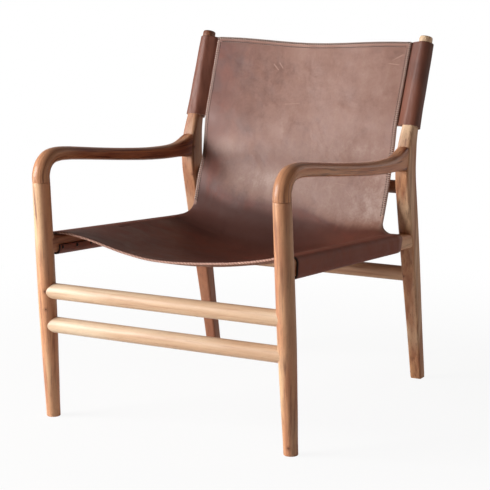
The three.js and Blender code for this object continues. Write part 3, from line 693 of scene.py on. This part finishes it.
sheet = {
    "thickness": 4.8, "gap": 0.3, "bulge": 0.9,
    "middle": [(27, 377.5), (117, 355), (210, 339), (305.5, 326), (390.5, 318.5), (447.5, 322), (486, 335.5),
               (509.5, 352.8), (528, 371.3), (540.7, 390.3), (556, 422.5), (573, 475.8), (589, 528),
               (604, 576), (620, 622), (645.7, 690.5), (668, 751.5), (688, 806.5)],
    "railSetbacks": [0, 100, 200, 300, 390, 450, 500], "nextSetback": 520,
    "freeEdge": [(257.2, 517, 383.5), (256.6, 534, 393), (256.4, 545.5, 405), (256.6, 554.5, 427),
                 (257.5, 571, 473), (256, 592.5, 530), (257.5, 603.5, 577)],
    "seatEdge": 258,  # where the panel's side line would run on over the seat
    "seamShares": [0.02, 0.36, 0.69, 1],
    "panelHalf": 258.5, "sleeveFoot": 624, "sleeveTop": 814, "sleeveLeather": 2.2,
    "cornerRow": 9.35, "rearSetback": 530, "rearOver": 10, "flapHeight": 17, "bendPoints": 12,
    "liftShare": 1.6, "chainShare": 0.2,  # how steeply it leaves the rail, and how full its sag is
    "spanRows": [0, 6, 9.35, 17], "spanShares": [0.91, 0.915, 0.97, 1.0], "panelFrom": 14,
    "overPlaces": [0, 0.2, 0.45, 1], "overShares": [0.8, 1, 0.1, 0],
    "fanReach": (0.45, 0.36), "turnFrom": 7.2,
    "corners": {"left": (0.85, 0.88, 0), "right": (0.5, 0.45, 5)},  # drop, run and slack of the rear corners
    "slackAt": (279, 540), "slackReach": (9, 26), "slackAbove": 370,
    # The front edge isn't alike on both sides
    "skewPlaces": [-300, -284, -270, -249, -229, -210, -190, -170, -151, -131, -106, -82, -57, -27, 13, 43,
                   93, 148, 205, 230, 250, 285, 300],
    "skewRises": [0, 2, 5.5, 7.8, 8.2, 7.7, 6.2, 3.8, 1.5, -1, -3.1, -5.1, -6.2, -6, -5, -4.2,
                  -3.4, -4, -4, -3.5, -2.8, -0.4, 0],
    "skewUpTo": (20, 330), "skewDownTo": (20, 220), "skewAbove": 395, "skewInside": 265,
    "columns": 62, "fanColumns": 12, "wrapColumns": 44, "seatRows": 104, "panelRows": 120,
    "easedRows": (0.62, 26), "easedColumns": 0.55, "easedTurns": 120,  # where the rear corners are evened out
}
lastRail = len(sheet["railSetbacks"]) - 1


def seamAt(height):
    forward = np.cross([1.0, 0, 0], postDirection(height))
    reach = sheet["sleeveLeather"] + sheet["gap"] + sheet["thickness"] / 2
    seam = postAxis(height) + forward * reach
    seam[0] = sheet["panelHalf"] + postAxis(height)[0] - postAxis(sheet["sleeveFoot"])[0]
    return seam


def wrapPath(setback, lift):  # round the rail's section, from where the sheet lifts off to the flap's end
    out = sheet["gap"] + sheet["thickness"] / 2
    half, high = rail["width"] / 2, railHalf(setback)
    bend, a, b = rail["corner"] + out, half - rail["corner"], high - rail["corner"]
    square = math.pi / 2
    path = []
    for side, up, start, stop in ((-a, b, square + lift, square), (a, b, square, 0), (a, -b, 0, -square),
                                  (-a, -b, -square, -2 * square)):
        for angle in np.linspace(start, stop, sheet["bendPoints"]):
            path.append((side + bend * math.cos(angle), up + bend * math.sin(angle)))
    path.append((-half - out, -high + sheet["flapHeight"]))
    return evenly(np.array(path), sheet["wrapColumns"] + 1)


def chain(c):
    return (1 - c ** 2) * (1 - sheet["chainShare"] * c ** 2)


halfShares = np.linspace(0, 1, sheet["columns"] + 1)
middleLine = through([(0, y, z) for y, z in sheet["middle"]])
setbackLine = through([(0, y, 0) for y in [*sheet["railSetbacks"], sheet["nextSetback"]]])


def liftAt(setback, row, eased=0.0):  # the wrap's points, and the angle at which the sheet leaves it
    centre = railCentre(setback)
    fall = centre[2] + railHalf(setback) - middleLine(row)[2]
    lift = math.atan(sheet["liftShare"] * fall / centre[0]) * (1 - eased)
    path = wrapPath(setback, lift)
    return centre + np.outer(path[:, 0], [1.0, 0, 0]) + np.outer(path[:, 1], railUp), lift


def seatEdgeAt(i):  # the point of the guide line on the seat's sagging section
    first = liftAt(sheet["railSetbacks"][i], i)[0][0]
    share = sheet["seatEdge"] / first[0]
    return np.array([sheet["seatEdge"], *lerp(first[1:], middleLine(i)[1:], chain(share))])


edgePoints = [seatEdgeAt(i) for i in range(lastRail + 1)] + list(sheet["freeEdge"])
edgePoints += [seamAt(lerp(sheet["sleeveFoot"], sheet["sleeveTop"], share)) for share in sheet["seamShares"]]
edgeLine = through(edgePoints)
lastRow = len(edgePoints) - 1


def mainAt(row):
    c, edge, middle = halfShares, edgeLine(row), middleLine(row)
    span = along(sheet["spanRows"], sheet["spanShares"], row)
    hung = (chain(c * span) - chain(span)) / (1 - chain(span))
    bowed = (1 - c ** 2) ** 3
    pull = lerp(hung, bowed, smooth(row, lastRail, sheet["panelFrom"]))
    return np.stack([edge[0] * c, lerp(edge[1], middle[1], pull), lerp(edge[2], middle[2], pull)], 1)


def seatRow(row, corner):
    drop, run, slack = sheet["corners"][corner]
    turn = smooth(row, lastRail, sheet["cornerRow"])
    if row <= lastRail:
        setback = setbackLine(row)[1]
    else:
        share = (row - lastRail) / (sheet["cornerRow"] - lastRail)
        setback = lerp(sheet["railSetbacks"][-1], sheet["rearSetback"], share)
    wrap, lift = liftAt(setback, min(row, lastRail), turn)
    over = np.interp(np.linspace(0, 1, len(wrap)), sheet["overPlaces"], sheet["overShares"])
    wrap = wrap + np.outer(over * turn ** 2 * sheet["rearOver"], railFall)
    main = mainAt(row)
    start, end = main[-1], wrap[0]
    outward = unit(start - main[-2])
    downward = unit(edgeLine(row - 0.05) - edgeLine(row + 0.05))
    leave = unit(lerp(outward, downward, smooth(row, sheet["turnFrom"], sheet["cornerRow"])))
    arrive = np.array([math.cos(lift), 0, math.sin(lift)])
    reach = np.linalg.norm(end - start)
    out = lerp(reach * sheet["fanReach"][0], abs(end[2] - start[2]) * drop, turn)
    back = lerp(reach * sheet["fanReach"][1], abs(end[0] - start[0]) * run, turn)
    t = np.linspace(0, 1, sheet["fanColumns"] + 1)[1:-1, None]
    first, second = start + leave * out, end - arrive * back
    fan = ((1 - t) ** 3 * start + 3 * t * (1 - t) ** 2 * first + 3 * t * t * (1 - t) * second + t ** 3 * end)
    half = np.vstack([main, fan, wrap])
    aside, behind = ((half[:, k] - sheet["slackAt"][k]) / sheet["slackReach"][k] for k in (0, 1))
    half[:, 2] += slack * np.exp(-(aside ** 2 + behind ** 2) / 2) * (half[:, 2] > sheet["slackAbove"])
    return half


rowPlaces = np.concatenate([np.linspace(0, sheet["cornerRow"], sheet["seatRows"]),
                            np.linspace(sheet["cornerRow"], lastRow, sheet["panelRows"])[1:]])


def sheetRows(corner):
    return [seatRow(row, corner) if row <= sheet["cornerRow"] else mainAt(row) for row in rowPlaces]


def joinedRows(halves, others):  # both halves of each row in one list of points, and the faces between rows
    points, starts = [], []
    for half, other in zip(halves, others):
        starts.append(len(points) + len(half) - 1)
        points.extend([p * [-1, 1, 1] for p in other[:0:-1]])
        points.extend(half)
    faces = []
    for r in range(len(halves) - 1):
        reach = min(len(halves[r]), len(halves[r + 1])) - 1
        for c in range(-reach, reach):
            a, b = starts[r] + c, starts[r + 1] + c
            faces.append((a, a + 1, b + 1, b))
    return np.array(points), np.array(faces), starts


def relaxed(points, faces, free, turns):  # moves free points towards their neighbours' middle
    pairs = np.vstack([faces[:, [k, (k + 1) % 4]] for k in range(4)])
    pairs = np.vstack([pairs, pairs[:, ::-1]])
    count = np.bincount(pairs[:, 0], minlength=len(points))[:, None]
    for _ in range(turns):
        total = np.zeros_like(points)
        np.add.at(total, pairs[:, 0], points[pairs[:, 1]])
        points = np.where(free[:, None], lerp(points, total / count, 0.5), points)
    return points


def outlineOf(faces):  # the open edges of a sheet in order, as one loop
    runs = {(int(face[k]), int(face[(k + 1) % 4])) for face in faces for k in range(4)}
    after = {a: b for a, b in runs if (b, a) not in runs}
    loop = [min(after)]
    while after[loop[-1]] != loop[0]:
        loop.append(after[loop[-1]])
    return loop


def band(upper, lower):  # the faces between two loops of points
    size = len(upper)
    return [(upper[(k + 1) % size], upper[k], lower[k], lower[(k + 1) % size]) for k in range(size)]


def faceSpans(points, faces):  # each face's normal, twice its area long
    a, b, c, d = (points[faces[:, k]] for k in range(4))
    return np.cross(c - a, d - b)


def thickened(points, faces, thickness, bulge):  # both skins and a rounded rim between them
    normals = np.zeros_like(points)
    for k in range(4):
        np.add.at(normals, faces[:, k], faceSpans(points, faces))
    normals = unit(normals)
    half, count = thickness / 2, len(points)
    loop = outlineOf(faces)
    run = unit(points[np.roll(loop, -1)] - points[np.roll(loop, 1)])
    out = unit(np.cross(run, normals[loop]))
    allPoints = [points + normals * half, points - normals * half]
    allFaces = [tuple(f) for f in faces] + [tuple(int(x) + count for x in f[::-1]) for f in faces]
    cut = [0] * len(faces) + [2] * len(faces)
    steps = [(0.86, 0.6), (0.45, 0.93), (0, 1), (-0.45, 0.93), (-0.86, 0.6)]  # up and out on the rim
    size = len(loop)
    rows = [loop]
    for k, (high, wide) in enumerate(steps):
        allPoints.append(points[loop] + normals[loop] * half * high + out * bulge * wide)
        rows.append(range(2 * count + k * size, 2 * count + (k + 1) * size))
    rows.append([x + count for x in loop])
    for upper, lower in zip(rows, rows[1:]):
        allFaces += band(upper, lower)
        cut += [1] * size
    return np.vstack(allPoints), allFaces, cut, normals, loop


halves = sheetRows("left")
points, faces, starts = joinedRows(halves, sheetRows("right"))
skew = np.array([along(sheet["skewPlaces"], sheet["skewRises"], x) for x in points[:, 0]])
skew *= 1 - np.where(skew > 0, *(smooth(points[:, 1], *sheet[f"skew{way}To"]) for way in ("Up", "Down")))
skew *= (points[:, 2] > sheet["skewAbove"]) | (np.abs(points[:, 0]) < sheet["skewInside"])
points[:, 2] += skew
columns = np.concatenate([np.abs(np.arange(-len(h) + 1, len(h))) for h in halves])
rowOf = np.concatenate([np.full(2 * len(h) - 1, r) for r, h in enumerate(halves)])
seatRows, fanEnd = sheet["seatRows"], sheet["columns"] + sheet["fanColumns"]
early, late = sheet["easedRows"]
free = (rowOf > seatRows * early) & (rowOf < seatRows + late)
free &= (columns > sheet["columns"] * sheet["easedColumns"]) & (columns < fanEnd)
free[outlineOf(faces)] = False
points = relaxed(points, faces, free, sheet["easedTurns"])
skin, skinFaces, cut, normals, loop = thickened(points, faces, sheet["thickness"], sheet["bulge"])

# Flat length along the sheet and across it, and the sheet's flat area
flatArea = 0.5 * norms(faceSpans(points, faces)).sum()
flatLength = norms(np.diff(points[starts], axis=0)).sum()
flatWidth = 2 * norms(np.diff(halves[seatRows // 2], axis=0)).sum()
print("sheet: flat", round(flatWidth), "by", round(flatLength), "mm, area", round(flatArea * 1e-6, 4), "m2")

sling = makePiece("leather_sheet", skin, skinFaces, [saddleLeather, cutLeather, fleshSide], cut=cut, sharp=60)

# Pairs of a place across and a value: the rows where the painted sheen on the panel starts and is full, its
# strength low and high on the panel, weaker towards -X where the post's shadow falls, and the strength and
# the last row of the painted shade in the hollow in front of the panel
bloom = {
    "from": [(-255, 9.6), (-80, 9.6), (50, 9.5), (100, 8.4), (155, 7.3), (255, 7.0)],
    "full": [(-255, 11.6), (-80, 10.8), (50, 10.6), (100, 10.1), (155, 9.5), (255, 8.9)],
    "low": [(-255, 0.05), (-215, 0.1), (-180, 0.6), (-140, 1.05), (-60, 1.15), (0, 1), (150, 1.1), (200, 1.4),
            (255, 1.55)],
    "high": [(-255, 0.15), (-215, 0.25), (-180, 0.45), (-140, 0.62), (-60, 0.82), (0, 0.95), (255, 0.95)],
    "highFrom": (11.3, 12.4),
    "dark": [(-255, 0.85), (0, 0.8), (60, 0.65), (120, 0.35), (170, 0), (255, 0)],
    "darkFrom": (3.5, 6.5), "darkFade": 0.6,
    "darkEnd": [(-255, 10.8), (-200, 10.2), (-150, 9.7), (0, 9.5), (120, 9.0), (255, 8.6)],
    "edgeBand": (6.0, 8.5), "foldFrom": (sheet["columns"] + 4, fanEnd + 6),
}

paintedLightSpots = [  # painted light and painted shade: paler and darker places on the panel: x, row place, their half widths, and how much
    (-190, 12.5, 45, 0.5, 0.6), (-90, 11.1, 75, 0.4, 0.45), (-60, 11.9, 90, 0.35, -0.3),
    (-60, 13.6, 45, 0.5, 0.2), (150, 12.7, 90, 0.4, 0.35), (215, 10.4, 38, 0.9, 0.4),
    (60, 10.9, 60, 0.5, 0.1),
]


def across(name):
    return np.interp(points[:, 0], *zip(*bloom[name]))


onPanel = rowOf >= seatRows - 1
panelLoop = points[[p for p in loop if onPanel[p]]]
edgeGap = np.array([norms(panelLoop - p).min() if near else 1e3 for p, near in zip(points, onPanel)])
rowPlace = rowPlaces[rowOf]
strength = lerp(across("low"), across("high"), smooth(rowPlace, *bloom["highFrom"]))
# painted shade in the hollow at the rear of the seat, before it turns up into the panel
paintedHollowShade = across("dark") * smooth(rowPlace, *bloom["darkFrom"])
paintedHollowShade *= 1 - smooth(rowPlace, across("darkEnd") - bloom["darkFade"], across("darkEnd") + bloom["darkFade"])
for x, place, wide, high, amount in paintedLightSpots:
    strength += amount * np.exp(-((points[:, 0] - x) / wide) ** 2 - ((rowPlace - place) / high) ** 2)
wear = np.zeros((len(skin), 3))  # painted sheen on the panel less painted shade in the hollow, the band at its edges, the folds round the rails
wear[:len(points), 0] = strength * smooth(rowPlace, across("from"), across("full")) - paintedHollowShade
wear[:len(points), 1] = 1 - smooth(edgeGap, *bloom["edgeBand"])
wear[:len(points), 2] = smooth(columns, *bloom["foldFrom"])
rims = (len(skin) - 2 * len(points)) // len(loop)
wear[2 * len(points):, 2] = np.tile(wear[loop, 2], rims)
giveVectors(sling.data, "wear", wear)
declare(sling, "saddle_leather", "sling")

# Stitches

stitch = {
    "gap": 6.2, "length": 2.8, "girth": 1.2, "hole": 2.8, "holeGirth": 2.7, "side": 7.5, "top": 11.5,
    "whipGap": 5.0, "whipGirth": 1.8, "whipHole": 2.2, "whipReach": 4.2, "whipSlant": 0.9,
    "whipLift": 0.1, "whipRim": 0.7, "whipOut": 1.0, "whipFrom": 4,  # the last in rows above the seat
    "holeIn": 0.4, "sides": 6,
    # Place along a thread, and its width and rise as shares of its radius
    "bend": [(0, 0.45, -0.5), (0.12, 0.85, 0), (0.5, 1, 0.25), (0.88, 0.85, 0), (1, 0.45, -0.5)],
}
halfSheet = sheet["thickness"] / 2


def capsule(start, end, girth, lift):  # one thread, bent a little away from the leather
    radius = girth / 2
    axis = unit(end - start)
    side = unit(np.cross(axis, lift))
    flat = circle(radius, stitch["sides"]) @ np.array([side, np.cross(side, axis)])
    return tube([lerp(start, end, t) + lift * radius * up + flat * wide for t, wide, up in stitch["bend"]])


def thread(name, stitches, material):
    declare(makePiece(name, *merged(stitches), [material], sharp=80), "saddle_leather")


def resampled(path, gap):
    lengths = lengthsOf(path[:, :3])
    return pointsAt(path, lengths, np.arange(gap / 2, lengths[-1] - gap / 2, gap))


def inFrom(line, edge, corner, cornerGap):  # the sewn place on a row or column, and none near the corner
    gaps = norms(points[line] - points[line[-1]])[::-1]
    if np.linalg.norm(points[line[-1]] - points[corner]) < cornerGap:
        return []
    place, normal = (pointsAt(v[line][::-1], gaps, [edge])[0] for v in (points, normals))
    return [np.concatenate([place + normal * halfSheet, normal])]


def seamPaths():  # the side's line and the top hem's, at their distances from the edges
    panelRows = range(seatRows + 1, len(halves))
    last, middle = len(halves[-1]) - 1, starts[-1]
    side, hem = [], []
    for r in panelRows:
        row = np.arange(starts[r], starts[r] + len(halves[r]))
        side += inFrom(row, stitch["side"], middle + last, stitch["top"])
    for c in range(-last, last + 1):
        column = np.array([starts[r] + c for r in panelRows])
        hem += inFrom(column, stitch["top"], middle + np.sign(c) * last, stitch["side"])
    return np.array(side), np.array(hem)


side, top = seamPaths()
flip = np.array([-1, 1, 1, -1, 1, 1])
seam, holes, whips = [], [], []
for run in (resampled(line, stitch["gap"]) for line in (side, side * flip, top)):
    for place, way in zip(run, unit(np.gradient(run[:, :3], axis=0))):
        half, gap = way * stitch["length"] / 2, way * (stitch["gap"] - stitch["hole"]) / 2
        centre, normal = place[:3], unit(place[3:])
        seam.append(capsule(centre - half, centre + half, stitch["girth"], normal))
        holes.append(capsule(centre + gap, centre + gap + way * stitch["hole"], stitch["holeGirth"], normal))
thread("seam_stitches", seam, waxedThread)

# Threads laid over the panel's free edges and over the top hem
whipRow = seatRows + stitch["whipFrom"]
panelEdge = [p for p in loop if rowOf[p] >= whipRow]
first = next(k for k, p in enumerate(panelEdge) if rowOf[panelEdge[k - 1]] == rowOf[p] == whipRow)
order = panelEdge[first:] + panelEdge[:first]
edgeRun = resampled(np.hstack([points[order], normals[order]]), stitch["whipGap"])
for place, way in zip(edgeRun, unit(np.gradient(edgeRun[:, :3], axis=0))):
    normal = unit(place[3:])
    outward, slant = unit(np.cross(way, normal)), way * stitch["whipSlant"]
    up, out = normal * halfSheet * stitch["whipRim"], outward * stitch["whipOut"]
    top = place[:3] + normal * (halfSheet + stitch["whipLift"]) - outward * stitch["whipReach"] - slant
    rim, low = place[:3] + up + out, place[:3] - up + out + slant
    whips += [capsule(top, rim, stitch["whipGirth"], normal), capsule(rim, low, stitch["whipGirth"], outward)]
    between = way * stitch["whipGap"] / 2 - outward * stitch["holeIn"]
    holes.append(capsule(top + between, rim + between, stitch["whipHole"], normal))
thread("edge_stitches", whips, waxedThread)
thread("stitch_holes", holes, stitchHole)
print("sheet and stitches made:", len(seam), "and", len(whips))

# Sleeves round the posts, with a sewn fin behind the panel

sleeve = {
    "ease": 0.4, "slack": 1.5, "fin": 20, "root": 9, "rows": 70, "innerRows": 12, "rim": 0.5,
    "facets": 14, "frontKept": 0.4, "backKept": 0.5, "slopeSteps": 12, "finSteps": 4, "backSteps": 8,
    "slope": [(0.5, 8.6), (0.82, 4.2)],  # shares of the way to the panel's edge, and distances from its plane
    "wave": 0.014, "waveRuns": (17.0, 41.0), "pleat": 0.014, "pleats": 4, "pleatRun": 110.0, "neck": 0.2,
    # painted shade on the sleeves' outer sides: how dark, and the distances out from the post's axis in mm
    # where it starts and is full
    "outerDark": 0.45, "darkFrom": (13, 20),
}
finEnd = (post["topSpread"] - 2 * sheet["panelHalf"]) / 2 + sleeve["fin"]
sleeveFoot, sleeveTop = sheet["sleeveFoot"], sheet["sleeveTop"]


def sleeveRings(height, rim):
    axis = postAxis(height)
    play = sleeve["ease"] + sleeve["slack"]
    outer = postSection(height, play + sheet["sleeveLeather"], sleeve["facets"])
    inner = postSection(height, play, sleeve["facets"])
    shift = np.array([0, -sleeve["slack"]])
    low, high = sleeve["waveRuns"]
    wave = math.sin(height / low) * math.sin(height / high + 1) * sleeve["wave"]
    pleat = np.sin(np.linspace(0, sleeve["pleats"] * 2 * math.pi, len(outer)) + height / sleeve["pleatRun"])
    outer = outer * (1 + wave + pleat * sleeve["pleat"])[:, None]
    quarter = len(outer) // 4
    front, back = (quarter + round(quarter * sleeve[kept]) for kept in ("frontKept", "backKept"))
    base = postSection(height, 0, sleeve["facets"])[0][0]
    panelEdge = axis[0] - seamAt(height)[0]
    half = sheet["sleeveLeather"]
    sloped = [(-lerp(base, panelEdge, share), off) for share, off in sleeve["slope"]]
    slope = through([outer[front - 4] + shift, outer[front - 1] + shift, *sloped, (-panelEdge, half)])
    run = [slope(x) for x in np.linspace(1, 4, sleeve["slopeSteps"] + 1)[1:]]
    run += [(-lerp(panelEdge, finEnd, t), half) for t in np.linspace(0, 1, sleeve["finSteps"] + 1)[1:]]
    under = [(-lerp(base + sleeve["root"], finEnd, t), -half) for t in np.linspace(1, 0, sleeve["backSteps"])]
    ring = np.vstack([outer[:front] + shift, run, under, outer[-back:] + shift])
    neck = np.array([-base - sleeve["ease"], sleeve["neck"]])
    insides = [neck] * len(run) + [neck * [1, -1]] * len(under)
    ringIn = np.vstack([inner[:front] + shift, insides, inner[-back:] + shift])
    return ringAt(axis, postDirection(height), lerp(ring, ringIn, rim))


def makeSleeve():
    foot, top, rim = sleeveFoot, sleeveTop, sleeve["rim"]
    run = [(height, 0) for height in np.linspace(top, foot, sleeve["rows"])]
    run += [(foot - rim, 0.3), (foot - rim, 0.7)]
    run += [(height, 1) for height in np.linspace(foot, top, sleeve["innerRows"])]
    run += [(top + rim, 0.7), (top + rim, 0.3)]
    rings = [sleeveRings(height, share) for height, share in run]
    count, last = len(rings[0]), len(rings)
    loops = [range(r * count, (r + 1) * count) for r in range(last)]
    faces, cut = [], []
    for r, loop in enumerate(loops):
        faces += band(loop, loops[(r + 1) % last])
        cut += [int(0 <= r - sleeve["rows"] + 1 < 3 or last - r <= 3)] * count
    return np.vstack(rings), faces, cut


points, faces, cut = makeSleeve()
sleeves = []
around = sleeveRings((sleeveFoot + sleeveTop) / 2, 0)
sleeveFlat = (norms(around - np.roll(around, 1, axis=0)).sum(), sleeveTop - sleeveFoot)
print("sleeves: flat", round(sleeveFlat[0]), "by", round(sleeveFlat[1]), "mm each")
# painted shade, darker towards each sleeve's outer side
outward = points[:, 0] - [postAxis(height)[0] for height in points[:, 2]]
sleevePaintedShade = np.outer(-sleeve["outerDark"] * smooth(outward, *sleeve["darkFrom"]), [1, 0, 0])
for side, p, f in bothSides(points, faces):
    piece = makePiece(f"leather_sleeve_{side}", p, f, [sleeveLeather, cutLeather], cut=cut, sharp=50)
    giveVectors(piece.data, "wear", sleevePaintedShade)
    sleeves.append(declare(piece, "saddle_leather", f"sleeve_{side}"))

# Screws through the flaps

screw = {
    "count": 10, "first": 8, "spacing": 54, "lift": 11.5, "head": 8, "sides": 20,
    # Out of the rail, and the share of the head
    "rise": [(-1, 1), (4.9, 1), (5.3, 0.99), (6.2, 0.86), (6.9, 0.62), (7.3, 0.34), (7.1, 0.3), (6.6, 0.1)],
}
heads = []
for i in range(screw["count"]):
    setback = screw["first"] + screw["spacing"] * i
    centre = railCentre(setback) - [rail["width"] / 2, 0, 0] + railUp * (screw["lift"] - railHalf(setback))
    discs = [(out, circle(screw["head"] / 2 * share, screw["sides"])) for out, share in screw["rise"]]
    heads.append(tube([centre + np.insert(disc[:, ::-1], 0, -out, axis=1) for out, disc in discs]))
for side, p, f in bothSides(*merged(heads)):
    names = [f"flap_screw_{side}_{i + 1}" for i in range(screw["count"])]
    declare(makePiece(f"screw_heads_{side}", p, f, [darkSteel], sharp=40), "dark_steel", *names)

# Dowels stay as they are, hidden in their bores
for name in ("leg_dowel_left", "leg_dowel_right", "arm_dowel_left", "arm_dowel_right"):
    nodes[name].data.materials.clear()
    nodes[name].data.materials.append(woods["paleOak"])
print("sleeves and screws made")

for side, piece in zip(("left", "right"), sleeves):
    sleeveFlat[0] * millimetre
    sleeveFlat[1] * millimetre

# Floor, lights and camera

studio = {
    "floor": (243, 242, 240), "floorSize": 14.0, "floorGlow": 0.91, "glowFade": (0.5, 1.8),
    "zenith": 0.05, "horizon": 0.2, "skyTint": (255, 232, 218), "glossShare": 0.27, "aimHeight": 0.45,
}
lamps = {  # power, size, turn, rise, distance and tint
    "key": (440.0, (2.8, 2.8), -50.0, 15.0, 5.0, (255, 255, 255)),
    "fill": (11.0, (1.2, 1.6), 108.0, 8.0, 3.2, (255, 232, 218)),
    "back": (7.0, (1.6, 1.6), 148.0, 20.0, 3.2, (255, 255, 255)),
}


def showsStudio(wire):  # camera rays, the rays that glass sends out, and in part those of gloss
    camera, gloss, through = (wire.make("LightPath", output=f"Is {ray} Ray")
                              for ray in ("Camera", "Glossy", "Transmission"))
    return camera.maths("MAXIMUM", (gloss * studio["glossShare"]).maths("MAXIMUM", through))


def makeFloor():
    size = studio["floorSize"] / 2
    mesh = bpy.data.meshes.new("floor")
    corners = [(-size, -size, 0), (size, -size, 0), (size, size, 0), (-size, size, 0)]
    mesh.from_pydata(corners, [], [(0, 1, 2, 3)])
    floor = newObject("floor", mesh)
    material, surface, place = newMaterial("paleFloor")
    feed(surface, Base_Color=shade(*studio["floor"]), Roughness=0.9)
    glow = place.make("Emission", {}, {"Color": (1, 1, 1, 1), "Strength": 1.0})
    away = place.distance((0, 0, 0)).between(*studio["glowFade"])
    share = showsStudio(place) * (studio["floorGlow"] + away * (1 - studio["floorGlow"]))
    mixed = place.make("MixShader", {}, {0: share, 1: Wire(place.tree, surface.outputs[0]), 2: glow})
    plug(place.tree.nodes["Material Output"], {"Surface": mixed})
    mesh.materials.append(material)


def makeWorld():
    world = bpy.data.worlds.new("studio")
    world.use_nodes = True
    scene.world = world
    wire = Wire(world.node_tree)
    seen = showsStudio(wire)
    up = wire.make("TexCoord").part(2)
    sky = studio["horizon"] + up.between(0.0, 0.7) * (studio["zenith"] - studio["horizon"])
    plug(world.node_tree.nodes["Background"],
         {"Color": seen.blend(studio["skyTint"], (255, 255, 255)), "Strength": sky + seen * (1 - sky)})


def aimed(thing, target, turn, rise, distance):  # a lamp or the camera, aimed at the target from afar
    placed = newObject(thing.name, thing)
    turn, rise = math.radians(turn), math.radians(rise)
    away = Vector((math.sin(turn) * math.cos(rise), -math.cos(turn) * math.cos(rise), math.sin(rise)))
    placed.location = Vector(target) + away * distance
    placed.rotation_mode = "QUATERNION"
    placed.rotation_quaternion = away.to_track_quat("Z", "Y")
    return placed


makeFloor()
makeWorld()
for name, (power, size, *where, tint) in lamps.items():
    light = bpy.data.lights.new(name, "AREA")
    light.shape = "RECTANGLE"
    light.size, light.size_y = size
    light.energy = power
    light.color = shade(*tint)[:3]
    aimed(light, (0, 0, studio["aimHeight"]), *where)

view = {"target": (25.5, 300, 370.03), "turn": 28.96, "rise": 10.18, "distance": 3615.11, "lens": 116.87}
camera = bpy.data.cameras.new("camera")
camera.lens = view["lens"]
camera.sensor_width = 36
scene.camera = aimed(camera, toFrame(view["target"]), view["turn"], view["rise"],
                     view["distance"] * millimetre)
scene.view_settings.view_transform = "Standard"
print("studio made")

bpy.context.view_layer.update()
